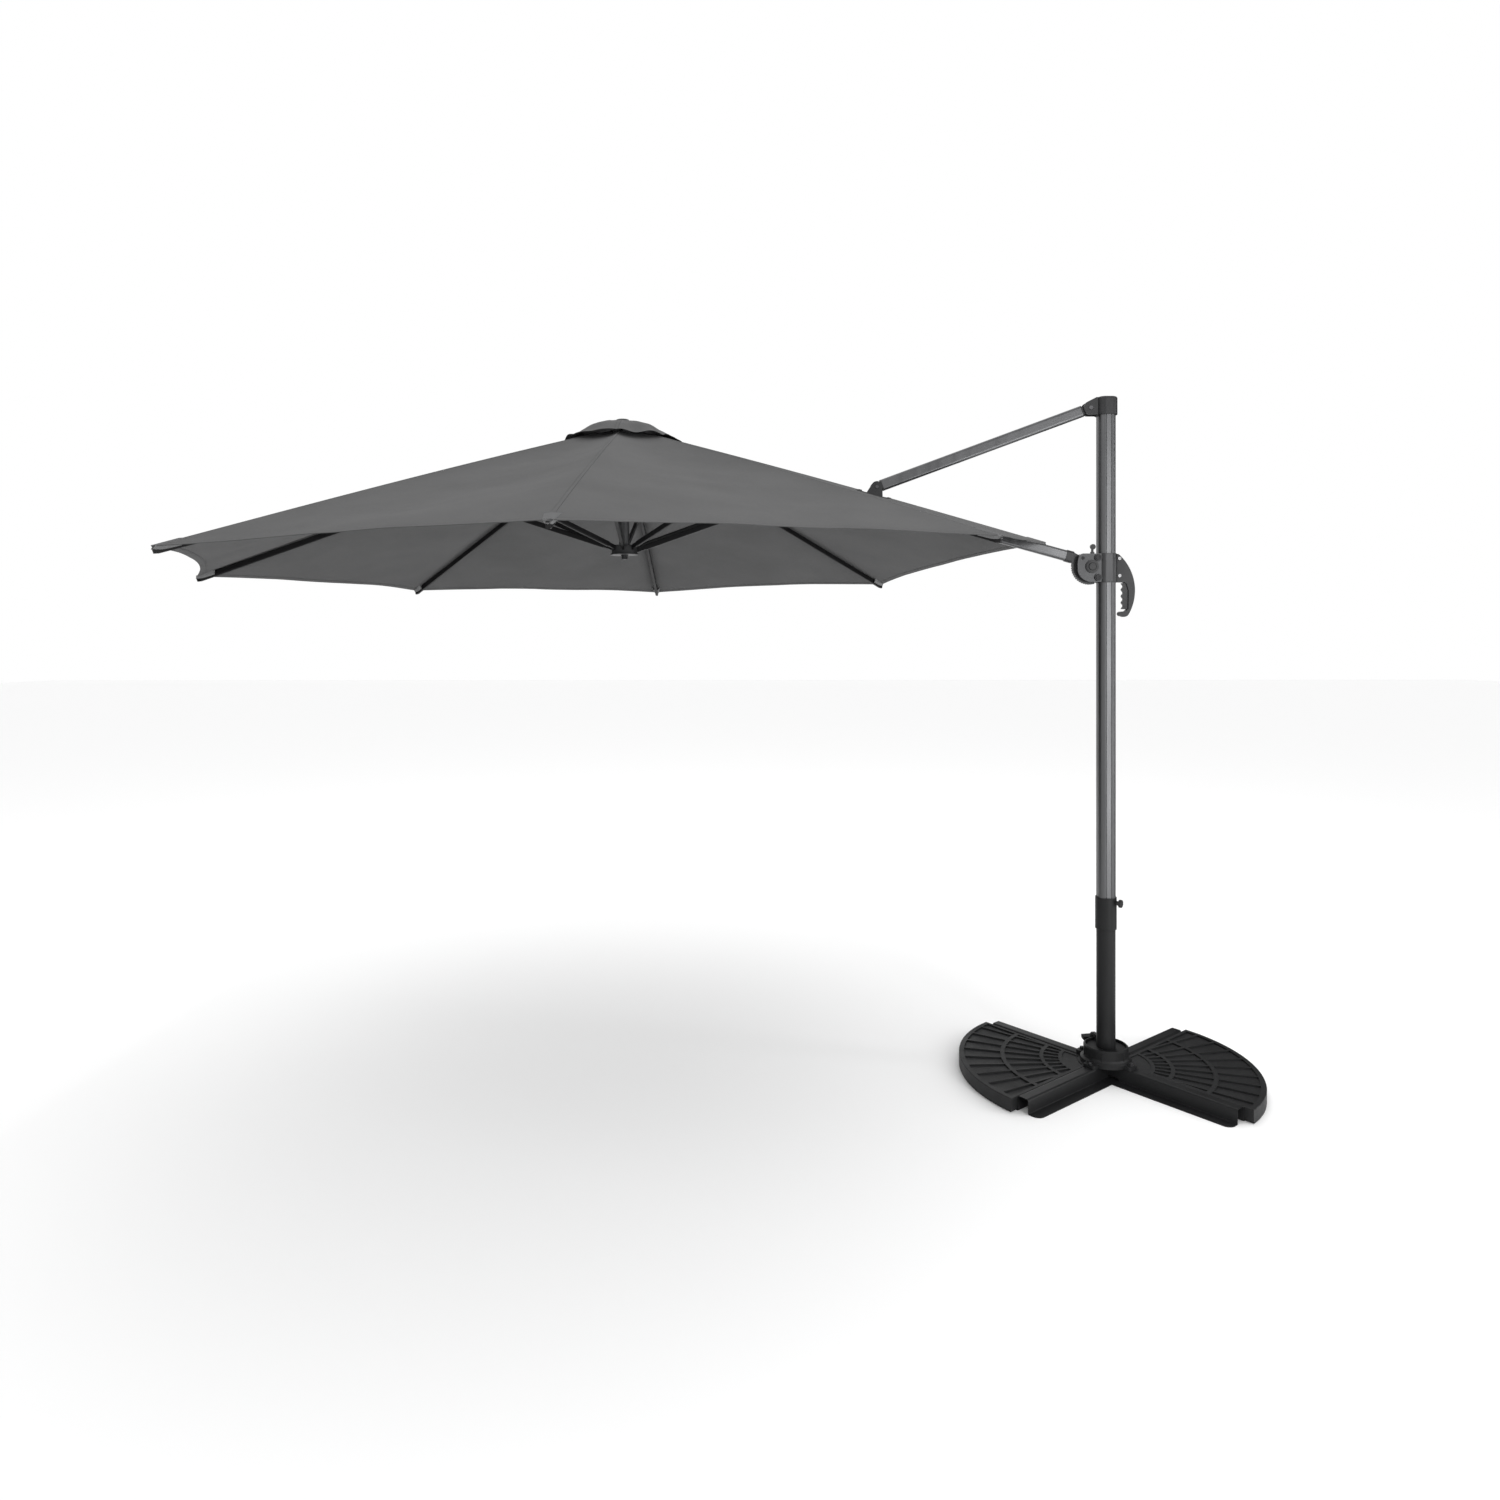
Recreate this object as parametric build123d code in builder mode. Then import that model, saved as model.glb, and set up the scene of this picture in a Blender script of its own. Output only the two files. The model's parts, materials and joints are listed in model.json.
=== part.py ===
"""Cantilever parasol: an octagonal canopy hung from a swivelling side mast on a weighted cross base.

Millimetres, +Z up. The origin is on the floor, on the mast's axis. The canopy is on the -X side.
The strut, the arm and the carriage make the folding frame: as the carriage slides down the mast,
the strut swings down, the arm stands up and the eight spokes of the canopy close.
"""

import os
from math import atan2, cos, degrees, hypot, pi, radians, sin, sqrt, tan

from build123d import *

# ---------------------------------------------------------------- driving dimensions
CANOPY_R = 1500          # hub axis to the tip of a rib, measured flat
HUB_X = -1714            # hub axis
CROWN_Z = 2270           # rib pivots' height on the hub axis
CANOPY_TILT = 0.8        # the canopy's plane rises towards the mast by this, degrees
RIB_SLOPE = 18.7         # ribs below the canopy's plane, degrees
FABRIC = 1.2             # canopy cloth with its seams
HEM_SAG = 50             # hem's curve inward between two corners
MAST_CORNER = (-215, 1890)   # tip of the canopy over the arm, X and Z
VENT_R = 215             # vent flap's corner radius
VENT_HOLE_R = 110        # opening in the canopy below the flap
VENT_RISE = 18           # flap's apex over the canopy's apex

MAST_W = 60              # upper mast, a fluted square profile
MAST_CURVE = 20          # its corners' radius
MAST_TOP = 2392
SLEEVE_TOP = 632
SLEEVE_BOTTOM = 519
LOWER_TUBE_R = 32.5

PIVOT_X = -60            # both pivots on the mast's side, from the mast's axis
STRUT_TOP_Z = 2366       # upper pivot, on the mast's cap
CARRIAGE_Z = 1803        # lower pivot, on the carriage
BRACKET_X = -817.6       # strut's foot pivot, halfway up between the two
ARM_OFFSET = 17          # arm's axis passes this far above the carriage pivot
ARM_DROP = 9.5           # arm's pivot on the crown sits this far below the ribs' pivots
ARM_SIZE = (24, 38)      # arm tube, wide and deep
STRUT_SIZE = (24, 40)
RIB_SIZE = (13, 20)
STRETCHER_SIZE = (12, 18)
SPOKE_PIVOT_R = 40       # rib and stretcher pivots from the hub axis
SPREAD = 627             # rib pivot to stretcher pivot, and the stretcher's length

BASE_TURN = -7           # cross base against the arm, degrees, as the mast swivels on it
BAR_HALF = 480           # hub axis to a bar's end
BAR_W, BAR_H, LIP_W, SHEET = 42, 50, 42, 2.5
SLAB_R, SLAB_TOP = 512, 47
HUB_TOP = 108
LUG_BOLT_R, BOLT_R = 97, 5   # bolts through the hub's lugs and the bars

WALL = 2.0               # aluminium tubes
PIN_R = 3.0              # spoke pins
RUN = 0.05               # radial clearance of a pin that turns
GAP = 0.4                # clearance between parts that move past each other

SPOKE_NAMES = {45: "e", 90: "d", 135: "c", 180: "b", 225: "a", 270: "g", 315: "n"}

# ---------------------------------------------------------------- worked out from those
BRACKET_Z = (STRUT_TOP_Z + CARRIAGE_Z) / 2
STRUT_SLOPE = degrees(atan2(STRUT_TOP_Z - BRACKET_Z, PIVOT_X - BRACKET_X))
LINK = hypot(STRUT_TOP_Z - BRACKET_Z, PIVOT_X - BRACKET_X)

CROWN = Plane(
    origin=(HUB_X, 0, CROWN_Z),
    x_dir=(cos(radians(CANOPY_TILT)), 0, sin(radians(CANOPY_TILT))),
    z_dir=(-sin(radians(CANOPY_TILT)), 0, cos(radians(CANOPY_TILT))),
)
ARM_END = CROWN.from_local_coords(Vector(SPOKE_PIVOT_R, 0, -ARM_DROP))
ARM_REACH = hypot(ARM_END.X - PIVOT_X, ARM_END.Z - CARRIAGE_Z)
ARM_SLOPE = degrees(
    atan2(ARM_END.Z - CARRIAGE_Z, PIVOT_X - ARM_END.X) - atan2(ARM_OFFSET, ARM_REACH)
)
ARM_LENGTH = sqrt(ARM_REACH**2 - ARM_OFFSET**2)

# Along the strut from its top pivot, and along the arm from the foot of its axis at the carriage.
STRUT_LINE = Plane(
    origin=(PIVOT_X, 0, STRUT_TOP_Z),
    x_dir=(-cos(radians(STRUT_SLOPE)), 0, -sin(radians(STRUT_SLOPE))),
    z_dir=(0, -1, 0),
)
ARM_UP = Vector(sin(radians(ARM_SLOPE)), 0, cos(radians(ARM_SLOPE)))
ARM_LINE = Plane(
    origin=Vector(PIVOT_X, 0, CARRIAGE_Z) + ARM_UP * ARM_OFFSET,
    x_dir=(-cos(radians(ARM_SLOPE)), 0, sin(radians(ARM_SLOPE))),
    z_dir=(0, -1, 0),
)
RIDGE_RISE = SPOKE_PIVOT_R * tan(radians(RIB_SLOPE)) + (
    RIB_SIZE[1] / 2 + 1.5 + FABRIC
) / cos(radians(RIB_SLOPE))
RUNNER_DROP = 2 * SPREAD * sin(radians(RIB_SLOPE))

os.makedirs("parts", exist_ok=True)


def write(piece, name):
    """Labels a finished piece and writes it as its own file."""
    piece.label = name
    export_step(piece, f"parts/{name}.step")


def across(line, along):
    """Plane square to a link's line, at a distance along it, with its own X across the frame."""
    return Plane(origin=line.from_local_coords(Vector(along, 0, 0)), x_dir=(0, 1, 0), z_dir=line.x_dir)


def spoke_line(azimuth, drop=0.0):
    """Side plane of a rib: origin at its pivot, X outward along the rib, Y up."""
    turn = Location((0, 0, 0), (0, 0, azimuth))
    pivot = Location((SPOKE_PIVOT_R, 0, -drop), (90, 0, 0))
    slope = Location((0, 0, 0), (0, 0, -RIB_SLOPE))
    return Plane(CROWN.location * turn * pivot * slope)


def stretcher_line(azimuth, drop=0.0):
    """Side plane of a stretcher: origin at its pivot on the rib, X inward and down to the runner."""
    attach = Location((SPREAD, 0, 0), (0, 0, 180 + 2 * RIB_SLOPE))
    return Plane(spoke_line(azimuth, drop).location * attach)


def polar(radius, angle):
    """Point at a radius and an angle in degrees."""
    return (radius * cos(radians(angle)), radius * sin(radians(angle)))


# ================================================================ base
BASE = Plane(Location((0, 0, 0), (0, 0, BASE_TURN)))


def hat_bar(azimuth):
    """Steel hat section, a channel with a lip along each side, its lips rounded off at both ends."""
    side = Plane(Location((0, 0, 0), (0, 0, BASE_TURN + azimuth)))
    half = BAR_W / 2 - SHEET
    lip = BAR_W / 2 + LIP_W
    top = BAR_H - SHEET
    ends = Plane(origin=(0, 0, 0), x_dir=side.y_dir, z_dir=side.x_dir)
    with BuildPart() as bar:
        with BuildSketch(ends):
            with BuildLine():
                FilletPolyline(
                    (-lip, 0), (-half, 0), (-half, top), (half, top), (half, 0), (lip, 0), radius=5
                )
                offset(amount=SHEET, side=Side.LEFT, closed=True)
            make_face()
        extrude(amount=BAR_HALF, both=True)
        with BuildSketch(side):
            Rectangle(2 * BAR_HALF, BAR_W + 2 * LIP_W + 20)
            RectangleRounded(2 * BAR_HALF, BAR_W + 2 * LIP_W, 26, mode=Mode.SUBTRACT)
            with Locations((LUG_BOLT_R, 0), (-LUG_BOLT_R, 0)):
                Circle(BOLT_R)
        extrude(amount=BAR_H + SHEET, mode=Mode.SUBTRACT)
    return bar.part, side


def halving(side, low, high, half_width):
    """Block that a crossing bar passes through, between two heights."""
    with BuildPart() as block:
        with BuildSketch(side.offset(low)):
            Rectangle(2 * half_width, 2 * half_width)
        extrude(amount=high - low)
    return block.part


long_bar, long_side = hat_bar(45)
with BuildPart() as cross_bar_a:
    add(long_bar)
    add(halving(long_side, BAR_H / 2, BAR_H + 5, BAR_W / 2 + 0.2), mode=Mode.SUBTRACT)
write(cross_bar_a.part, "cross_bar_a")

other_bar, other_side = hat_bar(-45)
with BuildPart() as cross_bar_b:
    add(other_bar)
    add(halving(other_side, -SHEET, BAR_H / 2, BAR_W / 2 + 0.2), mode=Mode.SUBTRACT)
    add(halving(other_side, -SHEET, SHEET + 7, BAR_W / 2 + LIP_W + 0.2), mode=Mode.SUBTRACT)
write(cross_bar_b.part, "cross_bar_b")

SLAB_BANDS = ((163, 214), (228, 350), (365, SLAB_R - 18))
SLAB_FOOT = 9            # narrower below this height, clear of the bars' bends
SLAB_CELLS = 10
SLAB_BORDER = 14
SLAB_RIB = 8
CELL_DEPTH = 6


def wedge(inset):
    """Quarter between two bars, kept off the bars' sides by an inset."""
    corner = (BAR_W / 2 + 1 + inset) * sqrt(2)
    reach = 2 * SLAB_R
    Polygon((corner, 0), (reach, reach - corner), (reach, corner - reach), align=None)


for slab_name, facing in (("slab_left", 180), ("slab_right", 0)):
    bay = Plane(Location((0, 0, 0), (0, 0, BASE_TURN + facing)))
    with BuildPart() as slab:
        for low, high, inset in ((SHEET, SLAB_FOOT, 4), (SLAB_FOOT, SLAB_TOP, 0)):
            with BuildSketch(bay.offset(low)):
                wedge(inset)
                Circle(SLAB_R, mode=Mode.INTERSECT)
                Circle(72, mode=Mode.SUBTRACT)
            extrude(amount=high - low)
        fillet(slab.edges().group_by(Axis.Z)[-1], 2.5)
        with BuildSketch(bay.offset(SLAB_TOP)):
            wedge(SLAB_BORDER)
            Circle(SLAB_BANDS[-1][1], mode=Mode.INTERSECT)
            Circle(SLAB_BANDS[0][0], mode=Mode.SUBTRACT)
            for (low_r, ring_r), (next_r, top_r) in zip(SLAB_BANDS, SLAB_BANDS[1:]):
                with BuildSketch(mode=Mode.SUBTRACT):
                    Circle(next_r)
                    Circle(ring_r, mode=Mode.SUBTRACT)
            with PolarLocations(0, SLAB_CELLS - 1, start_angle=-36, angular_range=72, endpoint=True):
                with Locations((SLAB_R / 2, 0)):
                    Rectangle(SLAB_R, SLAB_RIB, mode=Mode.SUBTRACT)
        extrude(amount=-CELL_DEPTH, mode=Mode.SUBTRACT)
        with BuildSketch(bay.offset(SLAB_TOP)):
            wedge(SLAB_BORDER)
            Circle(150, mode=Mode.INTERSECT)
            Circle(96, mode=Mode.SUBTRACT)
        extrude(amount=-CELL_DEPTH / 2, mode=Mode.SUBTRACT)
    write(slab.part, slab_name)

CUP_R, RIM_R, BORE_R = 76.5, 69, 38.2

with BuildPart() as base_hub:
    with BuildSketch(Plane.XZ):
        with BuildLine():
            Polyline(
                (0, BAR_H),
                (87, BAR_H),
                (87, 62),
                (80, 68),
                (CUP_R, 75),
                (CUP_R, HUB_TOP - 4),
                (CUP_R - 4, HUB_TOP),
                (RIM_R, HUB_TOP),
                (RIM_R, 84),
                (BORE_R, 84),
                (BORE_R, 55),
                (0, 55),
                (0, BAR_H),
            )
        make_face()
    revolve(axis=Axis.Z)
    with BuildSketch(BASE.offset(BAR_H)):
        with PolarLocations(0, 4, start_angle=45):
            with Locations((88, 0)):
                RectangleRounded(44, 46, 9)
        Circle(60, mode=Mode.SUBTRACT)
    extrude(amount=12)
    with PolarLocations(0, 6):
        with Locations((CUP_R, 0, 80)):
            Cylinder(2.5, 34)
    with Locations(BASE.location):
        with PolarLocations(LUG_BOLT_R, 4, start_angle=45):
            Cylinder(BOLT_R, 80, mode=Mode.SUBTRACT, align=(Align.CENTER, Align.CENTER, Align.MIN))
    with Locations((0, 0, 84)):
        Cylinder(RIM_R, HUB_TOP, mode=Mode.SUBTRACT, align=(Align.CENTER, Align.CENTER, Align.MIN))
write(base_hub.part, "base_hub")

with BuildPart() as hub_fasteners:
    with BuildSketch(BASE.offset(62)):
        with PolarLocations(LUG_BOLT_R, 4, start_angle=45):
            Circle(9.5)
    extrude(amount=1.6)
    with BuildSketch(BASE.offset(63.6)):
        with PolarLocations(LUG_BOLT_R, 4, start_angle=45):
            RegularPolygon(8.2, 6)
    extrude(amount=6.4)
    with BuildSketch(BASE.offset(36)):
        with PolarLocations(LUG_BOLT_R, 4, start_angle=45):
            Circle(BOLT_R)
    extrude(amount=30)
    with BuildSketch(BASE.offset(BAR_H - SHEET - 8)):
        with PolarLocations(LUG_BOLT_R, 4, start_angle=45):
            RegularPolygon(8.2, 6)
    extrude(amount=8)
    with BuildSketch(BASE.offset(BAR_H - SHEET - 9)):
        with PolarLocations(LUG_BOLT_R, 4, start_angle=45):
            Circle(BOLT_R + 0.1)
            Circle(BOLT_R, mode=Mode.SUBTRACT)
    extrude(amount=9, mode=Mode.SUBTRACT)
write(hub_fasteners.part, "hub_fasteners")

with BuildPart() as swivel_bush:
    with BuildSketch(Plane.XY.offset(55)):
        Circle(BORE_R)
        Circle(LOWER_TUBE_R + GAP, mode=Mode.SUBTRACT)
    extrude(amount=28)
write(swivel_bush.part, "swivel_bush")

# The foot pedal lies behind the rim, and its pad bears on the turntable from above.
PEDAL_AZIMUTH = 100
PEDAL_PIVOT = (93, 86)
PEDAL = Plane(Location((0, 0, 0), (0, 0, PEDAL_AZIMUTH)) * Location((0, 0, 0), (90, 0, 0)))
TURNTABLE_TOP = 99

with BuildPart() as foot_pedal:
    with BuildSketch(PEDAL):
        with BuildLine():
            Polyline(
                (60, TURNTABLE_TOP + GAP),
                (64, TURNTABLE_TOP + GAP),
                (64, HUB_TOP + 3),
                (84, HUB_TOP + 3),
                (84, 78),
                (102, 78),
                (128, 84.5),
                (130, 94.5),
                (100, 92),
                (96, HUB_TOP + 5),
                (90, HUB_TOP + 11),
                (60, HUB_TOP + 11),
                (60, TURNTABLE_TOP + GAP),
            )
        make_face()
        with Locations(PEDAL_PIVOT):
            Circle(PIN_R + RUN, mode=Mode.SUBTRACT)
    extrude(amount=7, both=True)
    with BuildSketch(PEDAL):
        with BuildLine():
            Polyline((108, 79.5), (129, 84.8), (131, 97), (108, 94.5), (108, 79.5))
        make_face()
    extrude(amount=24, both=True)
write(foot_pedal.part, "foot_pedal")

with BuildPart() as pedal_bracket:
    with BuildSketch(PEDAL):
        with BuildLine():
            Polyline((CUP_R - 0.4, 78), (96, 78), (100, 86), (96, 94), (CUP_R - 0.4, 94), (CUP_R - 0.4, 78))
        make_face()
    extrude(amount=12, both=True)
    with BuildSketch(PEDAL):
        with Locations((90, 86)):
            Rectangle(40, 60)
    extrude(amount=7 + GAP, both=True, mode=Mode.SUBTRACT)
    with BuildSketch(Plane.XY.offset(60)):
        Circle(CUP_R)
    extrude(amount=60, mode=Mode.SUBTRACT)
    with BuildSketch(PEDAL):
        with Locations(PEDAL_PIVOT):
            Circle(PIN_R)
    extrude(amount=12, both=True)
write(pedal_bracket.part, "pedal_bracket")

# ================================================================ mast
with BuildPart() as turntable:
    with BuildSketch(Plane.XY.offset(86)):
        Circle(67)
        Circle(LOWER_TUBE_R, mode=Mode.SUBTRACT)
        with PolarLocations(67, 36):
            Circle(1.6, mode=Mode.SUBTRACT)
    extrude(amount=TURNTABLE_TOP - 86)
write(turntable.part, "turntable")

with BuildPart() as lower_tube:
    with BuildSketch(Plane.XY.offset(55 + GAP)):
        Circle(LOWER_TUBE_R)
        Circle(LOWER_TUBE_R - 2.5, mode=Mode.SUBTRACT)
    extrude(amount=SLEEVE_TOP - 55 - GAP)
write(lower_tube.part, "lower_tube")

KNOB_AZIMUTH = -42
KNOB_Z = 615
KNOB = Plane(
    origin=(0, 0, KNOB_Z),
    x_dir=(0, 0, 1),
    z_dir=(cos(radians(KNOB_AZIMUTH)), sin(radians(KNOB_AZIMUTH)), 0),
)
SLEEVE_R = 36.5

with BuildPart() as joint_sleeve:
    with BuildSketch(Plane.XY.offset(SLEEVE_BOTTOM)):
        Circle(SLEEVE_R)
    extrude(amount=SLEEVE_TOP - SLEEVE_BOTTOM)
    chamfer(joint_sleeve.edges().group_by(Axis.Z)[0], 1.2)
    with BuildSketch(KNOB):
        Circle(8)
    extrude(amount=SLEEVE_R + 3)
    with BuildSketch(Plane.XY.offset(SLEEVE_BOTTOM)):
        Circle(LOWER_TUBE_R)
    extrude(amount=SLEEVE_TOP - SLEEVE_BOTTOM, mode=Mode.SUBTRACT)
    with BuildSketch(KNOB):
        Circle(4 + 0.2)
    extrude(amount=SLEEVE_R + 5, mode=Mode.SUBTRACT)
write(joint_sleeve.part, "joint_sleeve")

with BuildPart() as lock_knob:
    with BuildSketch(KNOB.offset(LOWER_TUBE_R + GAP)):
        Circle(4)
    extrude(amount=16)
    with BuildSketch(KNOB.offset(SLEEVE_R + 4)):
        Circle(7.5)
    extrude(amount=8)
    with BuildSketch(KNOB.offset(SLEEVE_R + 12)):
        Circle(14)
        with PolarLocations(15, 8):
            Circle(2.2, mode=Mode.SUBTRACT)
    extrude(amount=9)
    chamfer(lock_knob.faces().sort_by(Axis(KNOB.origin, KNOB.z_dir))[-1].edges(), 1)
write(lock_knob.part, "lock_knob")

with BuildPart() as mast_spigot:
    with BuildSketch(Plane.XY.offset(470)):
        Circle(LOWER_TUBE_R - 2.5)
        Circle(MAST_W / 2 - 6, mode=Mode.SUBTRACT)
    extrude(amount=SLEEVE_TOP - 470)
    with BuildSketch(Plane.XY.offset(SLEEVE_TOP)):
        Circle(MAST_W / 2 - 3)
        Circle(MAST_W / 2 - 6, mode=Mode.SUBTRACT)
    extrude(amount=120)
write(mast_spigot.part, "mast_spigot")

FLUTE_PLACES = [(x, s * MAST_W / 2) for x in (-9, 9) for s in (-1, 1)]

with BuildPart() as upper_mast:
    with BuildSketch(Plane.XY.offset(SLEEVE_TOP)):
        RectangleRounded(MAST_W, MAST_W, MAST_CURVE)
        RectangleRounded(MAST_W - 6, MAST_W - 6, MAST_CURVE - 3, mode=Mode.SUBTRACT)
        with Locations(*FLUTE_PLACES, *((y, x) for x, y in FLUTE_PLACES)):
            Circle(1.6, mode=Mode.SUBTRACT)
    extrude(amount=MAST_TOP - SLEEVE_TOP)
write(upper_mast.part, "upper_mast")

CAP_BOTTOM, CAP_TOP, CAP_R = 2342, 2405, 36
CHEEK_IN, CHEEK_OUT = 12.6, 19

with BuildPart() as mast_cap:
    with BuildSketch(Plane.XY.offset(CAP_BOTTOM)):
        RectangleRounded(2 * CAP_R, 2 * CAP_R, CAP_R - MAST_W / 2 + MAST_CURVE)
    extrude(amount=CAP_TOP - CAP_BOTTOM)
    fillet(mast_cap.edges().group_by(Axis.Z)[-1], 7)
    with BuildSketch(Plane.XZ):
        with BuildLine():
            Polyline((-66, CAP_BOTTOM), (0, CAP_BOTTOM), (0, CAP_TOP - 2), (-40, CAP_TOP - 2), (-73, 2386))
            ThreePointArc((-73, 2386), (-84, 2362), (-66, CAP_BOTTOM))
        make_face()
    extrude(amount=CHEEK_OUT, both=True)
    with BuildSketch(Plane.XZ):
        with Locations((-MAST_W / 2 - 3 - 32, CAP_BOTTOM + 30)):
            Rectangle(64, 100)
    extrude(amount=CHEEK_IN, both=True, mode=Mode.SUBTRACT)
    with BuildSketch(Plane.XY.offset(CAP_BOTTOM)):
        RectangleRounded(MAST_W, MAST_W, MAST_CURVE)
    extrude(amount=MAST_TOP - CAP_BOTTOM, mode=Mode.SUBTRACT)
    with BuildSketch(Plane.XZ):
        with Locations((PIVOT_X, STRUT_TOP_Z)):
            Circle(5)
    extrude(amount=40, both=True, mode=Mode.SUBTRACT)
write(mast_cap.part, "mast_cap")


def cross_bolt(centre, shank_r, grip, head_r, head):
    """Bolt across the frame with a domed head at each end, and its shank between."""
    seat = Plane(origin=centre, x_dir=(1, 0, 0), z_dir=(0, -1, 0))
    with BuildPart() as bolt:
        with BuildSketch(seat):
            Circle(shank_r)
        extrude(amount=grip, both=True)
        for facing in (-1, 1):
            with BuildSketch(Plane(origin=centre, x_dir=(1, 0, 0), z_dir=(0, facing, 0)).offset(grip)):
                Circle(head_r)
            extrude(amount=head, taper=20)
    return bolt.part


write(cross_bolt((PIVOT_X, 0, STRUT_TOP_Z), 5, CHEEK_OUT, 8, 2.5), "strut_pivot_bolt")

# ================================================================ strut
STRUT_START, STRUT_END = 32, LINK - 22
STRUT_HALF = STRUT_SIZE[0] / 2


def eye_tongue(line, centre, reach, eye_r, depth, half, bore):
    """Flat tongue with a round eye, reaching along the link's line to its tube."""
    toward = 1 if reach > centre else -1
    with BuildPart() as tongue:
        with BuildSketch(line):
            with Locations((centre, 0)):
                Circle(eye_r)
            with Locations(((centre + reach) / 2, 0)):
                Rectangle(abs(reach - centre), depth)
            with Locations((centre, 0)):
                Circle(bore, mode=Mode.SUBTRACT)
        extrude(amount=half, both=True)
        with BuildSketch(across(line, reach)):
            RectangleRounded(2 * half, depth + 8, 5)
        extrude(amount=toward * 4)
    return tongue.part


def box_tube(line, start, end, size, radius, wall=WALL):
    """Straight tube of rounded box section along a link's line."""
    with BuildPart() as tube:
        with BuildSketch(across(line, start)):
            RectangleRounded(size[0], size[1], radius)
            RectangleRounded(size[0] - 2 * wall, size[1] - 2 * wall, radius - wall, mode=Mode.SUBTRACT)
        extrude(amount=end - start)
    return tube.part


def tube_plug(line, start, end, size, radius, wall=WALL):
    """Plug that fills a tube's inside over a short length."""
    with BuildPart() as plug:
        with BuildSketch(across(line, start)):
            RectangleRounded(size[0] - 2 * wall, size[1] - 2 * wall, radius - wall)
        extrude(amount=end - start)
    return plug.part


write(box_tube(STRUT_LINE, STRUT_START, STRUT_END, STRUT_SIZE, 9), "strut_tube")

with BuildPart() as strut_top_fitting:
    add(eye_tongue(STRUT_LINE, 0, STRUT_START - 4, 14, 24, STRUT_HALF, 5 + RUN))
    add(tube_plug(STRUT_LINE, STRUT_START - 4, STRUT_START + 40, STRUT_SIZE, 9))
    with BuildSketch(across(STRUT_LINE, STRUT_START - 4)):
        RectangleRounded(STRUT_SIZE[0], STRUT_SIZE[1], 9)
    extrude(amount=4)
write(strut_top_fitting.part, "strut_top_fitting")

with BuildPart() as strut_foot_fitting:
    add(eye_tongue(STRUT_LINE, LINK, STRUT_END + 4, 14, 24, STRUT_HALF, 4 + RUN))
    add(tube_plug(STRUT_LINE, STRUT_END - 40, STRUT_END + 4, STRUT_SIZE, 9))
    with BuildSketch(across(STRUT_LINE, STRUT_END)):
        RectangleRounded(STRUT_SIZE[0], STRUT_SIZE[1], 9)
    extrude(amount=4)
write(strut_foot_fitting.part, "strut_foot_fitting")

# ================================================================ arm
ARM_START = 70           # tube's lower end from the foot of the arm's axis
SOCKET_END = 92
ARM_END_GAP = 78         # tube's upper end from the crown pivot
QUADRANT_R = 62
ROOT_HALF = 10
Q_POINT = Vector(PIVOT_X, 0, CARRIAGE_Z)
ARM_TUBE_END = ARM_LENGTH - ARM_END_GAP

write(box_tube(ARM_LINE, ARM_START, ARM_TUBE_END, ARM_SIZE, 8), "arm_tube")

# Outline about the carriage pivot: a boss, the neck up to the tube's socket, and the quadrant.
ROOT_ANGLE = 180 - ARM_SLOPE
QUADRANT = Plane(origin=Q_POINT, x_dir=(1, 0, 0), z_dir=(0, -1, 0))

with BuildPart() as tilt_quadrant:
    with BuildSketch(QUADRANT):
        with BuildLine():
            boss_top = polar(18, 90 - ARM_SLOPE)
            socket_top = (
                polar(ARM_START, ROOT_ANGLE)[0] + polar(ARM_OFFSET + 18, 90 - ARM_SLOPE)[0],
                polar(ARM_START, ROOT_ANGLE)[1] + polar(ARM_OFFSET + 18, 90 - ARM_SLOPE)[1],
            )
            socket_low = polar(ARM_START, ROOT_ANGLE)
            Polyline(boss_top, socket_top, socket_low, polar(QUADRANT_R, ROOT_ANGLE + 2))
            ThreePointArc(
                polar(QUADRANT_R, ROOT_ANGLE + 2), polar(QUADRANT_R, 225), polar(QUADRANT_R, 285)
            )
            Line(polar(QUADRANT_R, 285), polar(18, 285))
            ThreePointArc(polar(18, 285), polar(18, 0), boss_top)
        make_face()
        Circle(7 + RUN, mode=Mode.SUBTRACT)
        with PolarLocations(QUADRANT_R, 13, start_angle=180, angular_range=100):
            Circle(2.4, mode=Mode.SUBTRACT)
    extrude(amount=ROOT_HALF, both=True)
    with BuildSketch(across(ARM_LINE, ARM_START - 2)):
        RectangleRounded(ARM_SIZE[0] + 4, ARM_SIZE[1] + 4, 9)
    extrude(amount=SOCKET_END - ARM_START + 2)
    with BuildSketch(across(ARM_LINE, ARM_START)):
        RectangleRounded(ARM_SIZE[0], ARM_SIZE[1], 8)
    extrude(amount=SOCKET_END, mode=Mode.SUBTRACT)
write(tilt_quadrant.part, "tilt_quadrant")

BRACKET_ALONG = ARM_LINE.to_local_coords(Vector(BRACKET_X, 0, BRACKET_Z)).X
BRACKET_UP = -ARM_LINE.to_local_coords(Vector(BRACKET_X, 0, BRACKET_Z)).Y
ARM_TOP = ARM_SIZE[1] / 2
EAR_IN, EAR_OUT, EAR_R = 12.6, 16.6, 20

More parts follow.
